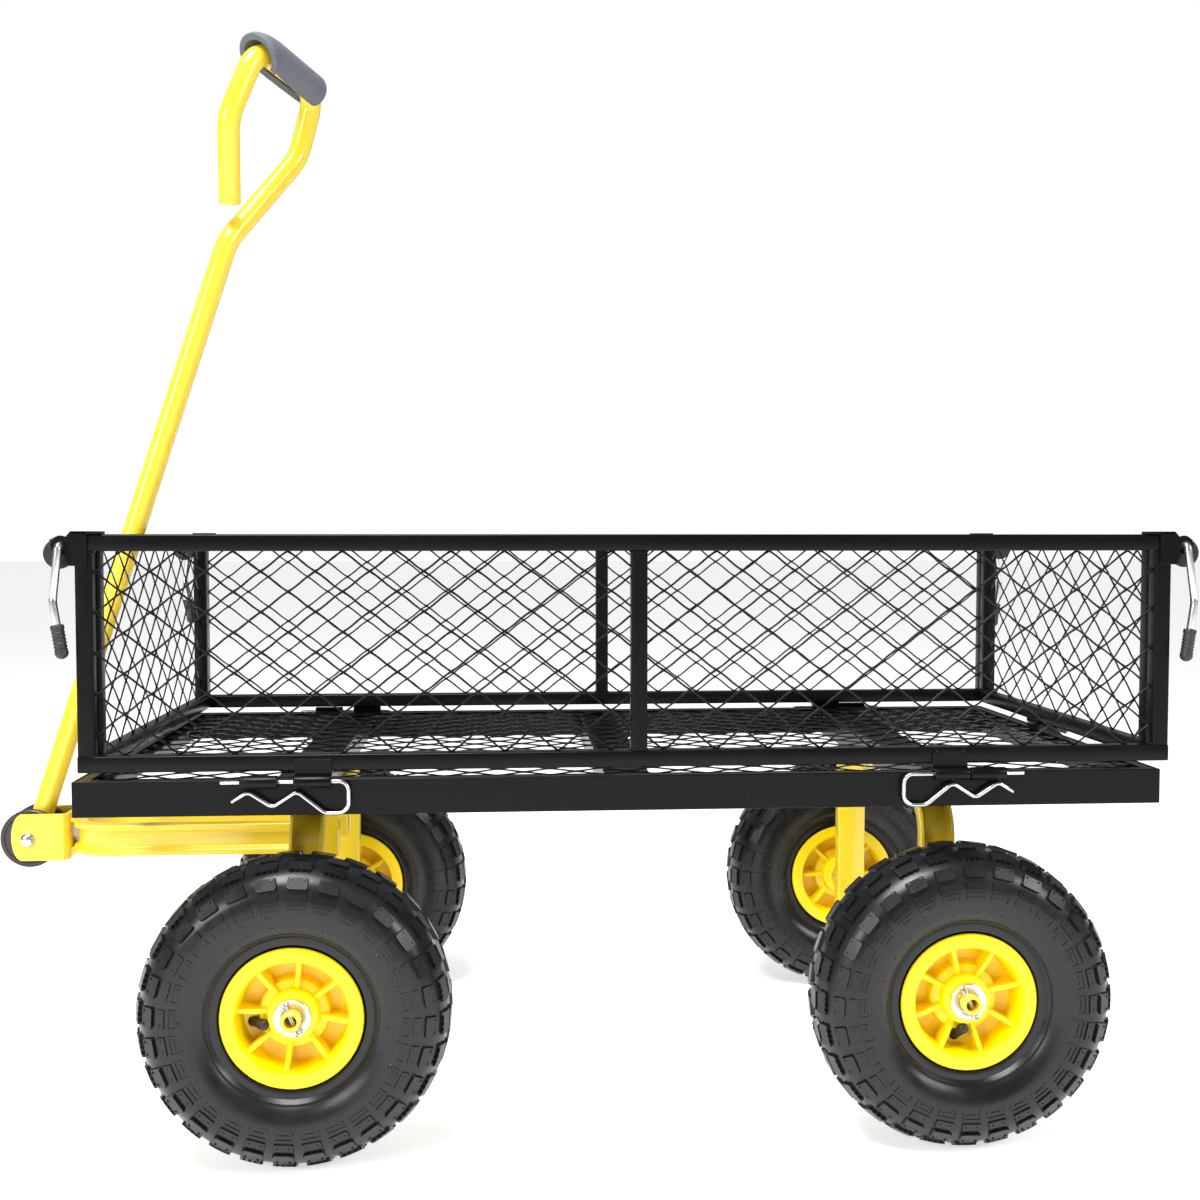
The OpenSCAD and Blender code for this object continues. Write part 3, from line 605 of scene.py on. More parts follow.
# ---- The corner latches ----
# At each top corner a steel plate is welded on the side's frame, with a tab over the corner. The
# latch is a bent zinc rod through it, with a black cam that turns behind the end panel's post.
def at_corner(end, side, low, high):
    """Puts points given for the front left corner at any corner; +Y there points into the bed."""
    corner = Vector((low.x if end < 0 else high.x, low.y if side < 0 else high.y, high.z))
    return lambda x, y, z: corner + Vector((-end * x, -side * y, z)) * mm


def plate(mesh, spot, outline, near, far):
    """A flat plate in the corner's XZ plane between two depths."""
    ring_near = [mesh.verts.new(spot(x, near, z)) for x, z in outline]
    ring_far = [mesh.verts.new(spot(x, far, z)) for x, z in outline]
    mesh.faces.new(ring_near)
    mesh.faces.new(ring_far[::-1])
    band(mesh, ring_near, ring_far)


def arc(centre, radius, start, end, steps=12):
    """Points on an arc, in degrees from start to end."""
    turns = [math.radians(start + (end - start) * i / steps) for i in range(steps + 1)]
    return [(centre[0] + radius * math.cos(t), centre[1] + radius * math.sin(t)) for t in turns]


latch_black = finish("latch_black", (0.010, 0.010, 0.011), (0.018, 0.018, 0.020),
    0.02, 0.33, 0.06, 0.6 * mm, 0.05 * mm)
sleeve_rubber = finish("sleeve_rubber", (0.012, 0.012, 0.013), (0.020, 0.020, 0.021),
    0.02, 0.5, 0.08, 0.5 * mm, 0.05 * mm)
lever_radius = 3.25 * mm

for end_name, end in (("front", -1), ("rear", 1)):
    for side_name, side in (("left", -1), ("right", 1)):
        low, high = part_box(side_name + "_frame")
        spot = at_corner(end, side, low, high)
        where = side_name + "_" + end_name

        plates = bmesh.new()
        plate(plates, spot, [(11, 2.4), (-2, 2.4)] + arc((-10, -9), 8, 60, 290)
            + [(-4, -26), (11, -26)], -2, 0)
        plate(plates, spot, [(-2, 0), (22, 0), (22, 2.4), (-2, 2.4)], -2, 12)
        piece("latch_plate_" + where, plates, black_paint, side_name + "_panel", "black_paint",
            side_name + "_latch_plates", edge=0.6 * mm)

        lever = bmesh.new()
        kink = spot(*((-15, -7.5, -55) if end < 0 else (-17, -7.5, -58)))
        foot = spot(*((-8.5, -7.5, -97) if end < 0 else (-10.5, -7.5, -105)))
        bent = [spot(-10, -7.5, -9), kink, foot]
        path = eased(bent, 20 * mm)
        top = [spot(-10, 12, -9), spot(-10, -7.5, -9), path[1]]
        wire(lever, path[1:], lever_radius, (0, 1, 0), sides=18)
        wire(lever, eased(top, 4.5 * mm), lever_radius, (top[0] - top[1]).cross(top[2] - top[1]), sides=18)
        piece("latch_lever_" + where, lever, zinc, "latch_" + where, "zinc", "latch_" + where)

        cam = bmesh.new()
        plate(cam, spot, arc((-13, -16), 12.5, 0, 345, 46), 2.5, 5.5)
        plate(cam, spot, arc((-13, -16), 13.8, 38, 128, 20) + arc((-13, -16), 11, 128, 38, 20), 4.5, 12.5)
        piece("latch_cam_" + where, cam, latch_black, "latch_" + where, "disc_plastic", edge=0.6 * mm)

        grip = bmesh.new()
        way = (foot - kink).normalized()
        start = foot - way * 23.5 * mm
        rings = 26
        reach = 28 * mm
        line = [start + way * reach * i / rings for i in range(rings + 1)]
        sizes = []
        for i in range(rings + 1):
            ribbed = 0.93 + 0.09 * math.sin(i * math.pi * 0.75) if 3 < i < 21 else 1.0
            fade = math.sqrt(max(0.02, 1 - (max(0, i - 21) / 5.2) ** 2))
            sizes.append(ribbed * fade * (0.86 if i == 0 else 1.0))
        swept(grip, round_section(5.5 * mm, 20), line, (0, 1, 0), sizes=sizes)
        piece("latch_sleeve_" + where, grip, sleeve_rubber, "latch_" + where, "rubber", "sleeve_" + where,
            sharp=70)


# ---- The axle brackets ----
# Each axle hangs in an arch bent from steel channel, its open side outward, and sprayed yellow
# before it is welded or pinned under the bed. The front one turns on the kingpin.
yellow_paint = finish("yellow_paint", (0.80, 0.57, 0.022), (0.86, 0.62, 0.034),
    0.08, 0.24, 0.04, 1.2 * mm, 0.012 * mm, coat=0.4)


def channel(width, deep, wall, round_by):
    """A channel's outline: its web at 0, its flanges outward, the outer corners rounded."""
    half = width / 2
    points = []
    for turn in range(0, 91, 30):
        t = math.radians(270 - turn)
        points.append((round_by + round_by * math.cos(t), -half + round_by + round_by * math.sin(t)))
    upper = [(a, -b) for a, b in reversed(points)]
    inner = [(deep, half), (deep, half - wall), (wall, half - wall), (wall, -half + wall),
        (deep, -half + wall), (deep, -half)]
    return points + upper + inner


def axle_bracket(node):
    low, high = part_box(node)
    leg = high.y - 14 * mm
    top = high.z - 14 * mm
    x = (low.x + high.x) / 2
    path = eased([(x, -leg, low.z), (x, -leg, top), (x, leg, top), (x, leg, low.z)], 30 * mm, steps=12)
    made = bmesh.new()
    swept(made, channel(high.x - low.x, 14 * mm, 3 * mm, 2.4 * mm), path, (-1, 0, 0))
    return made


rear_bracket = axle_bracket("rear_bracket")
piece("rear_axle_bracket", rear_bracket, yellow_paint, "bed", "yellow_paint", "rear_bracket", edge=0.6 * mm)

front_bracket = axle_bracket("front_bracket")
strap_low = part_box("drawbar")[0].z - 2 * mm
front_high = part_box("front_bracket")[1]
strap_middle = 45.5 * mm
for side in (-1, 1):
    y = side * strap_middle
    block(front_bracket, (front_axle_x - 15 * mm, y - 1.5 * mm, strap_low),
        (front_axle_x + 15 * mm, y + 1.5 * mm, front_high.z - 13 * mm))
piece("front_axle_bracket", front_bracket, yellow_paint, "steering", "yellow_paint", "front_bracket",
    edge=0.6 * mm)

bracket_welds = bmesh.new()
for side in (-1, 1):
    y = side * strap_middle
    for face in (-1, 1):
        x = front_axle_x + face * 15 * mm
        weld(bracket_welds, (x, y - 1 * mm, strap_low + 3 * mm), (x, y - 1 * mm, strap_low + 28 * mm))
piece("front_bracket_welds", bracket_welds, yellow_paint, "steering", "yellow_paint")

rear_welds = bmesh.new()
rear_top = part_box("rear_bracket")[1].z
for side in (-1, 1):
    for face in (-1, 1):
        x = rear_axle_x + face * 15.5 * mm
        weld(rear_welds, (x, side * 30 * mm, rear_top - 1 * mm), (x, side * 75 * mm, rear_top - 1 * mm))
piece("rear_bracket_welds", rear_welds, yellow_paint, "bed", "yellow_paint")


# ---- The kingpin ----
# A turned steel pin on a yellow plate that is welded under the bed, with a zinc washer and a
# hexagon nut under the front bracket.
def turned(mesh, outline, place, steps=40, closed=False):
    """A shape turned about its Z from (radius, height) points, then put in place."""
    rings = []
    for k in range(steps):
        t = 2 * math.pi * k / steps
        rings.append([mesh.verts.new(place @ Vector((r * math.cos(t), r * math.sin(t), z)))
            for r, z in outline])
    count = len(outline)
    for k in range(steps):
        here = rings[k]
        there = rings[(k + 1) % steps]
        for i in range(count if closed else count - 1):
            n = (i + 1) % count
            mesh.faces.new((here[i], there[i], there[n], here[n]))
    if not closed:
        if outline[0][0] > 0:
            mesh.faces.new([ring[0] for ring in rings])
        if outline[-1][0] > 0:
            mesh.faces.new([ring[-1] for ring in rings][::-1])


def prism(mesh, sides, across, low, high, place, chamfer=0.0):
    """A nut or bolt head: a regular prism, chamfered at both ends."""
    radius = across / 2 / math.cos(math.pi / sides)
    rings = []
    for size, z in ((1 - chamfer / radius, low), (1.0, low + chamfer * 0.6), (1.0, high - chamfer * 0.6),
            (1 - chamfer / radius, high)):
        rings.append([mesh.verts.new(place @ Vector((radius * size * math.cos(2 * math.pi * k / sides),
            radius * size * math.sin(2 * math.pi * k / sides), z))) for k in range(sides)])
    for here, there in zip(rings, rings[1:]):
        band(mesh, here, there)
    mesh.faces.new(rings[0][::-1])
    mesh.faces.new(rings[-1])


kingpin = bmesh.new()
pin_place = Matrix.Translation((front_axle_x, 0, rim_low.z))
block(kingpin, (front_axle_x - 28 * mm, -45 * mm, rim_low.z - 2 * mm),
    (front_axle_x + 28 * mm, 45 * mm, rim_low.z - 0.05 * mm))
turned(kingpin, [(0.008, -0.001), (0.008, -0.031), (0.0068, -0.032)], pin_place)
piece("kingpin_and_plate", kingpin, yellow_paint, "bed", "yellow_paint", "kingpin_mount", edge=0.4 * mm)
kingpin_nut = bmesh.new()
turned(kingpin_nut, [(0.0083, -0.0176), (0.0145, -0.0176), (0.015, -0.0181), (0.015, -0.0191),
    (0.0145, -0.0196), (0.0083, -0.0196)], pin_place, closed=True)
prism(kingpin_nut, 6, 23 * mm, -31 * mm, -19.7 * mm, pin_place, chamfer=1.2 * mm)
piece("kingpin_nut_and_washer", kingpin_nut, zinc, "bed", "zinc", "kingpin_nut")


# ---- The drawbar ----
# A thick steel bar with a shallow rolled groove along its outer face, bent round into a long
# loop, welded to the front bracket's straps and running forward to the hitch.
bar_low, bar_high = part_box("drawbar")
bar_half = 30 * mm
bar_turn = bar_low.x + 44 * mm
bar_height = bar_high.z - bar_low.z - 0.2 * mm
bar_middle = (bar_low.z + bar_high.z) / 2
bar_path = [(bar_high.x, -bar_half, bar_middle)]
for degrees in range(0, 181, 6):
    t = math.radians(degrees)
    bar_path.append((bar_turn - bar_half * math.sin(t), -bar_half * math.cos(t), bar_middle))
bar_path += [(bar_high.x, bar_half, bar_middle)]
bar_deep = 14 * mm
groove = 4.5 * mm
lip = 5 * mm
top = bar_height / 2
groove_edge = top - 1.7 * lip
bar_section = [(0, -top), (0, top), (bar_deep, top), (bar_deep, top - lip), (bar_deep - groove, groove_edge),
    (bar_deep - groove, -groove_edge), (bar_deep, lip - top), (bar_deep, -top)]
drawbar = bmesh.new()
swept(drawbar, bar_section, bar_path, (0, 0, -1))
piece("drawbar_loop", drawbar, yellow_paint, "steering", "yellow_paint", "drawbar", edge=1.2 * mm)


# ---- The hitch ----
# A thick yellow plate bent into a fork and welded to the drawbar's nose, a zinc bolt across it,
# and two black plastic discs that take up the room beside the handle's foot.
hitch_low, hitch_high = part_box("hitch_clevis")
disc_low, disc_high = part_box("hitch_discs")
pivot = Vector(((disc_low.x + disc_high.x) / 2, 0, (disc_low.z + disc_high.z) / 2))
fork_wall = 4 * mm
fork_half = hitch_high.y - fork_wall / 2
fork_round = 48 * mm
fork_middle = pivot.z + 2 * mm
fork_back = hitch_high.x - fork_wall / 2
fork = bmesh.new()
fork_rows = []
for level in range(17):
    z = hitch_low.z + (hitch_high.z - hitch_low.z) * level / 16
    rise = z - fork_middle
    tip = pivot.x + 32 * mm - math.sqrt(fork_round ** 2 - rise ** 2)
    round_off = 3 * mm * (abs(rise) / (0.5 * (hitch_high.z - hitch_low.z))) ** 8
    plan = eased([(tip + round_off, -fork_half, z), (fork_back, -fork_half, z), (fork_back, fork_half, z),
        (tip + round_off, fork_half, z)], 6 * mm, steps=6)
    ahead = [plan[0].lerp(plan[1], t / 4) for t in range(4)]
    behind = [plan[-2].lerp(plan[-1], t / 4) for t in range(1, 5)]
    fork_rows.append([fork.verts.new(p) for p in ahead + plan[1:-1] + behind])
for here, there in zip(fork_rows, fork_rows[1:]):
    for k in range(len(here) - 1):
        fork.faces.new((here[k], here[k + 1], there[k + 1], there[k]))
hitch_fork = piece("hitch_fork", fork, yellow_paint, "steering", "yellow_paint", "hitch_clevis")
thick = hitch_fork.modifiers.new("plate", "SOLIDIFY")
thick.thickness = fork_wall
thick.offset = 0
soft = hitch_fork.modifiers.new("eased_edges", "BEVEL")
soft.width = 0.8 * mm
soft.segments = 2
soft.limit_method = "ANGLE"

fork_welds = bmesh.new()
for z in (bar_low.z + 1 * mm, bar_high.z - 1 * mm):
    weld(fork_welds, (hitch_high.x + 1 * mm, -15 * mm, z), (hitch_high.x + 1 * mm, 15 * mm, z), 2 * mm)
piece("hitch_welds", fork_welds, yellow_paint, "steering", "yellow_paint")

across = Matrix.Translation(pivot) @ Matrix.Rotation(math.pi / 2, 4, "X")
fork_out = hitch_high.y
bolt = bmesh.new()
turned(bolt, [(0.0049, -fork_out - 9 * mm), (0.005, -fork_out - 8.5 * mm), (0.005, fork_out + 1 * mm)],
    across)
turned(bolt, [(0.0, fork_out + 4.6 * mm), (0.0035, fork_out + 4.4 * mm), (0.0058, fork_out + 3.2 * mm),
    (0.0068, fork_out + 1.4 * mm), (0.007, fork_out + 0.1 * mm)], across, steps=32)
prism(bolt, 6, 13 * mm, -fork_out - 7.5 * mm, -fork_out - 0.1 * mm, across, chamfer=1 * mm)
piece("hitch_bolt_and_nut", bolt, zinc, "steering", "zinc", "hitch_bolt")

disc_black = finish("disc_black", (0.020, 0.020, 0.021), (0.032, 0.032, 0.034),
    0.02, 0.42, 0.06, 0.5 * mm, 0.04 * mm)
discs = bmesh.new()
disc_radius = (disc_high.z - disc_low.z) / 2
for side in (-1, 1):
    face_in = side * 11.1 * mm
    face_out = side * 19 * mm
    lip = side * 1 * mm
    turned(discs, [(0.0053, face_in), (disc_radius - 1 * mm, face_in), (disc_radius, face_in + lip),
        (disc_radius, face_out - lip), (disc_radius - 1 * mm, face_out), (disc_radius - 4 * mm, face_out),
        (disc_radius - 4.6 * mm, face_out - 0.8 * lip), (0.012, face_out - 0.8 * lip),
        (0.0115, face_out), (0.0053, face_out)], across, steps=56, closed=True)
piece("hitch_side_discs", discs, disc_black, "handle", "disc_plastic", "hitch_discs")


# ---- The handle ----
# One length of round steel tube, bent back on itself into an open loop at the top and sprayed
# gloss yellow. Its cut end hangs open beside the tube.
lean = math.radians(18.3)
loop_turn = math.radians(27)
tube_radius = 10.25 * mm
loop_half = 56 * mm
loop_start = 612 * mm
grip_reach = 788 * mm
grip_bend = 24 * mm
loop_bends = [50 * mm, 45 * mm, grip_bend, grip_bend, 45 * mm]
up_tube = Vector((math.sin(lean), 0, math.cos(lean)))
off_tube = Vector((math.cos(lean), 0, -math.sin(lean)))
loop_way = off_tube * math.sin(loop_turn) + Vector((0, 1, 0)) * math.cos(loop_turn)
loop_face = loop_way.cross(up_tube)


def on_handle(u, v):
    """A place in the loop's plane: u across the grip and v up the tube from the pivot."""
    return pivot + loop_way * u + up_tube * v


loop_path = eased([on_handle(0, -16 * mm), on_handle(0, loop_start),
    on_handle(1.1 * loop_half, loop_start + 110 * mm), on_handle(loop_half - 1 * mm, grip_reach),
    on_handle(-0.75 * loop_half, grip_reach), on_handle(-0.9 * loop_half, loop_start + 104 * mm),
    on_handle(-0.23 * loop_half, loop_start + 34 * mm)], loop_bends, steps=16)
handle = bmesh.new()
sides = 36
tube_bore = 0.86
rings = swept(handle, round_section(tube_radius, sides), loop_path, loop_face, caps=False)
for ring, tip, deep in ((rings[0], loop_path[0], loop_path[1]), (rings[-1], loop_path[-1], loop_path[-2])):
    back_at = tip + (deep - tip).normalized() * 26 * mm
    lip = [handle.verts.new(tip + (v.co - tip) * tube_bore) for v in ring]
    back = [handle.verts.new(back_at + (v.co - tip) * tube_bore) for v in ring]
    band(handle, ring, lip)
    band(handle, lip, back)
    handle.faces.new(back)
piece("handle_bent_tube", handle, yellow_paint, "handle", "yellow_paint", "handle_tube", sharp=50)


# ---- The grip ----
# A split sleeve of dense foam pressed over the loop's cross bar, its slit underneath, wider and
# flared at the near end where it has been pushed against the bend.
foam = finish("grip_foam", (0.095, 0.100, 0.118), (0.135, 0.140, 0.165),
    0.01, 0.75, 0.08, 0.7 * mm, 0.25 * mm)
grip_far = 53 * mm
grip_near = -0.75 * loop_half + 21.3 * mm
grip_droop = math.radians(44)
grip_length = grip_far - grip_near + grip_bend * grip_droop
grip = bmesh.new()
grip_rings = 32
grip_steps = 40
outer_rows = []
inner_rows = []
for i in range(grip_rings + 1):
    gone = grip_length * i / grip_rings
    # straight along the bar at first, then down round the bend
    droop = max(0.0, gone - (grip_far - grip_near)) / grip_bend
    rise = up_tube * math.cos(droop) - loop_way * math.sin(droop)
    centre = on_handle(max(grip_near, grip_far - gone), grip_reach - grip_bend) + rise * grip_bend
    left = grip_length - gone
    flare = max(0.0, 1 - left / (16 * mm)) ** 1.6
    tip = 1 - 0.07 * (max(0.0, 1 - min(gone, left) / (2 * mm))) ** 2
    outer = (16.8 * mm + 1.2 * mm * i / grip_rings + 5.6 * mm * flare) * tip
    inner = 11.0 * mm + 1.4 * mm * i / grip_rings + 3.6 * mm * flare
    slit = math.radians(26 + 22 * (i / grip_rings) ** 2)
    row_out = []
    row_in = []
    for k in range(grip_steps + 1):
        turn = -math.pi / 2 + slit + (2 * math.pi - 2 * slit) * k / grip_steps
        arm = loop_face * math.cos(turn) + rise * math.sin(turn)
        row_out.append(grip.verts.new(centre + arm * outer))
        row_in.append(grip.verts.new(centre + arm * inner))
    outer_rows.append(row_out)
    inner_rows.append(row_in)
for out, out_next, into, into_next in zip(outer_rows, outer_rows[1:], inner_rows, inner_rows[1:]):
    for k in range(grip_steps):
        grip.faces.new((out[k], out[k + 1], out_next[k + 1], out_next[k]))
        grip.faces.new((into[k], into_next[k], into_next[k + 1], into[k + 1]))
    for k in (0, grip_steps):
        grip.faces.new((out[k], out_next[k], into_next[k], into[k]))
for i in (0, grip_rings):
    for k in range(grip_steps):
        grip.faces.new((outer_rows[i][k], outer_rows[i][k + 1], inner_rows[i][k + 1], inner_rows[i][k]))
piece("grip_sleeve", grip, foam, "handle", "foam", "handle_grip", edge=1.0 * mm, sharp=50)


# ---- The axles ----
# Each axle is a steel tube sprayed yellow with the brackets. It has a zinc spacer and washer
# beside each wheel, and a split pin through the tube's end to keep the wheel on.
wheel_middle = 219 * mm
axle_radius = 8.2 * mm
axle_bore = 5.35 * mm


def axle(name, body, node, keepers, x):
    low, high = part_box(node)
    centre = Vector((x, 0, (low.z + high.z) / 2))
    place = Matrix.Translation(centre) @ Matrix.Rotation(-math.pi / 2, 4, "X")
    half = high.y
    made = bmesh.new()
    turned(made, [(axle_bore, half - 24 * mm), (axle_bore, half - 0.4 * mm), (axle_bore + 0.5 * mm, half),
        (axle_radius - 0.7 * mm, half), (axle_radius, half - 0.7 * mm), (axle_radius, -half + 0.7 * mm),
        (axle_radius - 0.7 * mm, -half), (axle_bore + 0.5 * mm, -half), (axle_bore, -half + 0.4 * mm),
        (axle_bore, -half + 24 * mm)], place, steps=40)
    piece(name + "_axle_tube", made, yellow_paint, body, "yellow_paint", node)
    kept = bmesh.new()
    pins = bmesh.new()
    for side in (-1, 1):
        out = Matrix.Translation(centre + Vector((0, side * wheel_middle, 0))) @ Matrix.Rotation(
            -side * math.pi / 2, 4, "X")
        turned(kept, [(0.0084, -0.054), (0.0128, -0.054), (0.013, -0.0538), (0.013, -0.0318),
            (0.0128, -0.0316), (0.0084, -0.0316)], out, steps=32, closed=True)
        turned(kept, [(0.0084, 0.0276), (0.0152, 0.0276), (0.0155, 0.0279), (0.0155, 0.0292),
            (0.0150, 0.0296), (0.0090, 0.0296), (0.0084, 0.0292)], out, steps=40, closed=True)
        tilt = math.radians(25)
        lie = Vector((math.sin(tilt), -math.cos(tilt), 0))
        across_pin = Vector((math.cos(tilt), math.sin(tilt), 0))
        centre_pin = Vector((0, 0, 33 * mm))
        for leg in (-0.85, 0.85):
            leg_pin = centre_pin + across_pin * leg * mm
            points = [leg_pin - lie * 13 * mm + across_pin * leg * 1.5 * mm, leg_pin - lie * 9 * mm,
                leg_pin + lie * 9.5 * mm]
            points = [out @ p for p in points]
            wire(pins, points, 0.8 * mm, out.to_3x3() @ Vector((0, 0, 1)), sides=8)
        eye_pin = centre_pin + lie * 12.4 * mm
        eye = []
        for i in range(21):
            t = math.pi - 0.5 - (2 * math.pi - 1.0) * i / 20
            eye.append(out @ (eye_pin + 2.3 * mm * (lie * math.cos(t) + across_pin * math.sin(t))))
        wire(pins, eye, 0.85 * mm, out.to_3x3() @ Vector((0, 0, 1)), sides=8)
    piece(name + "_spacers_washers", kept, zinc, body, "zinc", keepers)
    piece(name + "_split_pins", pins, zinc, body, "zinc")


axle("front", "steering", "front_axle", "front_keepers", front_axle_x)
axle("rear", "bed", "rear_axle", "rear_keepers", rear_axle_x)


# ---- The tyres ----
# Black rubber air tyres with blocks moulded round the crown and the shoulders, fading into thin
# outlines down the wall, and fine vent nubs and round marks left by the mould.
tyre_rubber = finish("tyre_rubber", (0.0035, 0.004, 0.0045), (0.008, 0.0085, 0.0095),
    0.035, 0.30, 0.08, 0.8 * mm, 0.10 * mm, shine=0.38)
crown = 128.2 * mm
wall_centre = 94 * mm
wall_half = 41.4 * mm
wall_power = 0.85
pitches = 28


def tyre_section(lean_out):
    """(radius, outward) on the tyre's skin; 0 is the middle of the tread and 90 the wall's widest."""
    t = math.radians(lean_out)
    rise = math.copysign(abs(math.cos(t)) ** wall_power, math.cos(t))
    out = math.copysign(abs(math.sin(t)) ** wall_power, math.sin(t))
    return wall_centre + (crown - wall_centre) * rise, wall_half * out


def on_tyre(turn, lean_out, lift=0.0):
    """A point on the skin, or lifted from it, at a turn about the axle."""
    radius, out = tyre_section(lean_out)
    near_r, near_o = tyre_section(lean_out - 1)
    far_r, far_o = tyre_section(lean_out + 1)
    slope = Vector((far_r - near_r, far_o - near_o)).normalized()
    radius += lift * slope.y
    out -= lift * slope.x
    t = math.radians(turn)
    return Vector((radius * math.cos(t), radius * math.sin(t), out))


def raised(mesh, outline, lift, sink=0.4 * mm, taper=0.10):
    """A moulded block over an outline of (turn, lean) corners."""
    middle_turn = sum(p[0] for p in outline) / len(outline)
    middle_lean = sum(p[1] for p in outline) / len(outline)
    foot = [mesh.verts.new(on_tyre(t, a, -sink)) for t, a in outline]
    drawn = [(t + (middle_turn - t) * taper, a + (middle_lean - a) * taper) for t, a in outline]
    top = [mesh.verts.new(on_tyre(t, a, lift)) for t, a in drawn]
    band(mesh, foot, top)
    mesh.faces.new(top)


def dot(mesh, turn, lean_out, size, stretch, lift, sides=6, taper=0.10):
    """A small round mark, stretched across the wall so that it looks round there."""
    outline = []
    for q in range(sides):
        t = 2 * math.pi * q / sides
        outline.append((turn + size * math.cos(t), lean_out + stretch * math.sin(t)))
    raised(mesh, outline, lift, taper=taper)


def tyre(phase):
    made = bmesh.new()
    skin = [tyre_section(lean_out) for lean_out in range(-138, 139, 6)]
    bead = [(63.4 * mm, 29.6 * mm), (61.2 * mm, 28.9 * mm), (59.9 * mm, 27.3 * mm), (59.6 * mm, 24 * mm),
        (52.6 * mm, 23 * mm)]
    skin = [(r, -z) for r, z in reversed(bead)] + skin + bead
    turned(made, skin, Matrix.Identity(4), steps=pitches * 6, closed=True)
    step = 360 / pitches
    for k in range(pitches):
        at = phase + k * step
        for side in (-1, 1):
            here = at + (step / 2 if side > 0 else 0)
            # blocks on the crown, leaning a little
            raised(made, [(here - 4.6, side * 2.5), (here + 2.6, side * 1.5), (here + 5.0, side * 12),
                (here + 3.2, side * 16.5), (here - 3.0, side * 16.5), (here - 4.9, side * 10)], 2.4 * mm)
            # blocks with a toothed outer edge
            teeth = []
            for tooth in range(9):
                teeth.append((here + 4.6 - tooth * 9.2 / 8, side * (36.5 + (1.8 if tooth % 2 else 0))))
            raised(made, [(here - 4.6, side * 23.5), (here - 2.0, side * 21.0), (here + 2.0, side * 22.4),
                (here + 4.6, side * 21.0)] + teeth, 2.7 * mm, taper=0.06)
            # shoulder blocks with two round pits
            raised(made, [(here - 4.2, side * 49), (here + 4.2, side * 49), (here + 4.8, side * 64.5),
                (here + 4.0, side * 67), (here - 4.0, side * 67), (here - 4.8, side * 64.5)], 2.7 * mm)
            # low blocks that fade down the wall into outlines
            raised(made, [(here - 4.7, side * 72), (here + 4.7, side * 72), (here + 4.7, side * 82),
                (here - 4.7, side * 82)], 1.5 * mm, taper=0.08)
            for t0, t1, a0, a1 in ((-4.7, 4.7, 85.5, 86.9), (-4.7, -4.1, 85.5, 92.5), (4.1, 4.7, 85.5, 92.5),
                    (-2.6, 2.6, 90.0, 91.2)):
                raised(made, [(here + t0, side * a0), (here + t1, side * a0), (here + t1, side * a1),
                    (here + t0, side * a1)], 0.8 * mm, taper=0.0)
            for t in (-2.6, 2.6):
                dot(made, here + t, side * 53, 0.6, side * 1.2, 3.2 * mm)
                dot(made, here + t, side * 77, 0.5, side * 1.0, 2.0 * mm)
    for side in (-1, 1):
        for k in range(24):
            at = phase + 7 + k * 15
            dot(made, at, side * 112, 0.5, side * 0.8, 0.7 * mm, taper=0.3)
        for at in (20, 34, 98, 112, 176, 190, 254, 268, 332, 346):
            for size, lift in ((1.5, 0.5), (0.75, 0.75)):
                dot(made, at + phase, side * 96, size, side * 1.8 * size, lift * mm, sides=10, taper=0.35)
    # a fine ring beside the rim
    for side in (-1, 1):
        radius, out = tyre_section(128)
        ring = [(1.0, -0.6), (0.4, 0.7), (-0.4, 0.5), (-1.0, -1.2)]
        turned(made, [(radius + r * mm, side * (out + z * mm)) for r, z in ring], Matrix.Identity(4),
            steps=96, closed=True)
    return made


# ---- The rims ----
# Each rim is moulded in bright yellow plastic: a wide flat flange, a deep dish with eight ribs,
# and a stepped boss round the axle.
rim_yellow = finish("rim_yellow", (0.94, 0.67, 0.0), (0.98, 0.71, 0.0), 0.03, 0.33, 0.04, 1.0 * mm, 0.03 * mm)


def wheel_rim(phase):
    made = bmesh.new()
    half = [(8.25, 27.0), (13.5, 27.0), (14.3, 26.6), (14.5, 25.4), (18.6, 25.2), (20.2, 24.6), (20.8, 23.2),
        (21.6, 15.5), (27.0, 15.0), (28.6, 14.2), (29.2, 12.4), (29.8, 5.5), (30.6, 4.6), (40.8, 4.6),
        (43.4, 5.4), (44.6, 7.4), (45.8, 26.0), (46.4, 29.2), (47.6, 30.6), (49.2, 31.0), (56.6, 31.0),
        (58.2, 30.5),
        (59.0, 29.2), (59.0, 28.0), (58.4, 27.4), (53.6, 27.2), (52.2, 25.6)]
    half = [(r * mm, z * mm) for r, z in half]
    outline = half + [(r, -z) for r, z in reversed(half)]
    turned(made, outline, Matrix.Identity(4), steps=120, closed=True)
    for side in (-1, 1):
        for k in range(8):
            turn = Matrix.Rotation(math.radians(phase + 45 * k), 4, "Z")
            profile = [(20.0, 4.0), (20.0, 17.5), (28.0, 20.5), (38.0, 23.2), (46.3, 24.0), (46.3, 4.0)]
            near = [made.verts.new(turn @ Vector((x * mm, -2.0 * mm, side * z * mm))) for x, z in profile]
            far = [made.verts.new(turn @ Vector((x * mm, 2.0 * mm, side * z * mm))) for x, z in profile]
            made.faces.new(near)
            made.faces.new(far[::-1])
            band(made, near, far)
    return made


# ---- The valves ----
# A black rubber stem with fine rings and a ribbed cap, pulled through a hole in the dish from the
# inner tube and leaning in towards the axle.
valve_rubber = finish("valve_rubber", (0.012, 0.011, 0.010), (0.022, 0.020, 0.018),
    0.01, 0.45, 0.06, 0.4 * mm, 0.04 * mm)


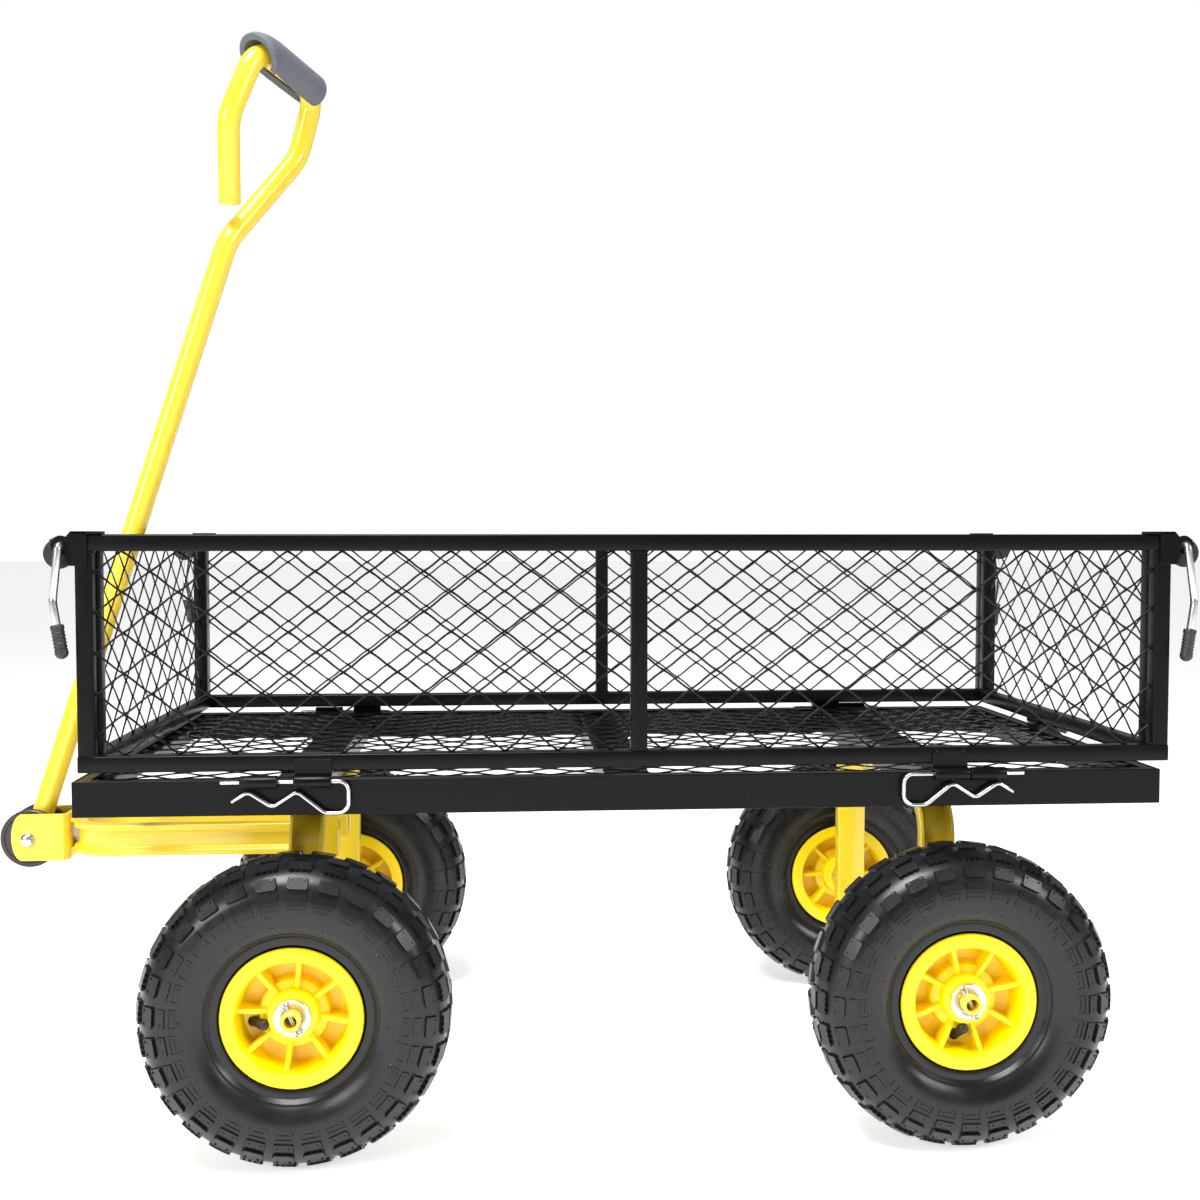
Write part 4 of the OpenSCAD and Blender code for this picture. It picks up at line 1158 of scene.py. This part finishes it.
def valve(phase, bay):
    made = bmesh.new()
    place = Matrix.Rotation(math.radians(phase + 22.5 + 45 * bay), 4, "Z") @ Matrix.Translation(
        (38.5 * mm, 0, 0.5 * mm)) @ Matrix.Rotation(math.radians(-31), 4, "Y")
    outline = [(4.8, 0), (4.8, 3.4), (4.2, 4.4)]
    for ridge in range(5):
        z = 5.2 + ridge * 2.4
        outline += [(3.7, z), (4.1, z + 0.5), (4.1, z + 1.4), (3.7, z + 1.9)]
    outline += [(3.3, 18.2), (3.3, 19.4), (4.0, 19.8), (4.0, 29.0), (3.5, 30.2), (2.4, 30.8), (0.0, 30.9)]
    turned(made, [(r * mm, z * mm) for r, z in outline], place, steps=24)
    for k in range(14):
        t = 2 * math.pi * k / 14
        x = 4.0 * mm * math.cos(t)
        y = 4.0 * mm * math.sin(t)
        wire(made, [place @ Vector((x, y, z * mm)) for z in (20.4, 28.6)], 0.45 * mm,
            place.to_3x3() @ Vector((math.cos(t), math.sin(t), 0)), sides=5)
    return made


wheel_radius = 130 * mm


def wheel(name, x, side, phase, bay, tread):
    """Puts one wheel's pieces on its axle, with +Z outward from the cart."""
    middle = Matrix.Translation((x, side * wheel_middle, wheel_radius))
    place = middle @ Matrix.Rotation(-side * math.pi / 2, 4, "X")
    for kind, made, look, slot, ease, sharp in (
            ("tyre", tyre(tread), tyre_rubber, "tyre", 0.0, 30),
            ("rim", wheel_rim(phase), rim_yellow, "yellow_plastic", 0.5 * mm, 35),
            ("valve", valve(phase, bay), valve_rubber, "rubber", 0.0, 40)):
        bmesh.ops.transform(made, matrix=place, verts=made.verts)
        piece("wheel_%s_%s" % (kind, name), made, look, "wheel_" + name, slot, "%s_%s" % (kind, name),
            edge=ease, sharp=sharp)


wheel("front_left", front_axle_x, -1, 38, 3, 3)
wheel("front_right", front_axle_x, 1, 10, 0, 8)
wheel("rear_left", rear_axle_x, -1, 16, 5, 6)
wheel("rear_right", rear_axle_x, 1, 0, 2, 0)

low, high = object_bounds()
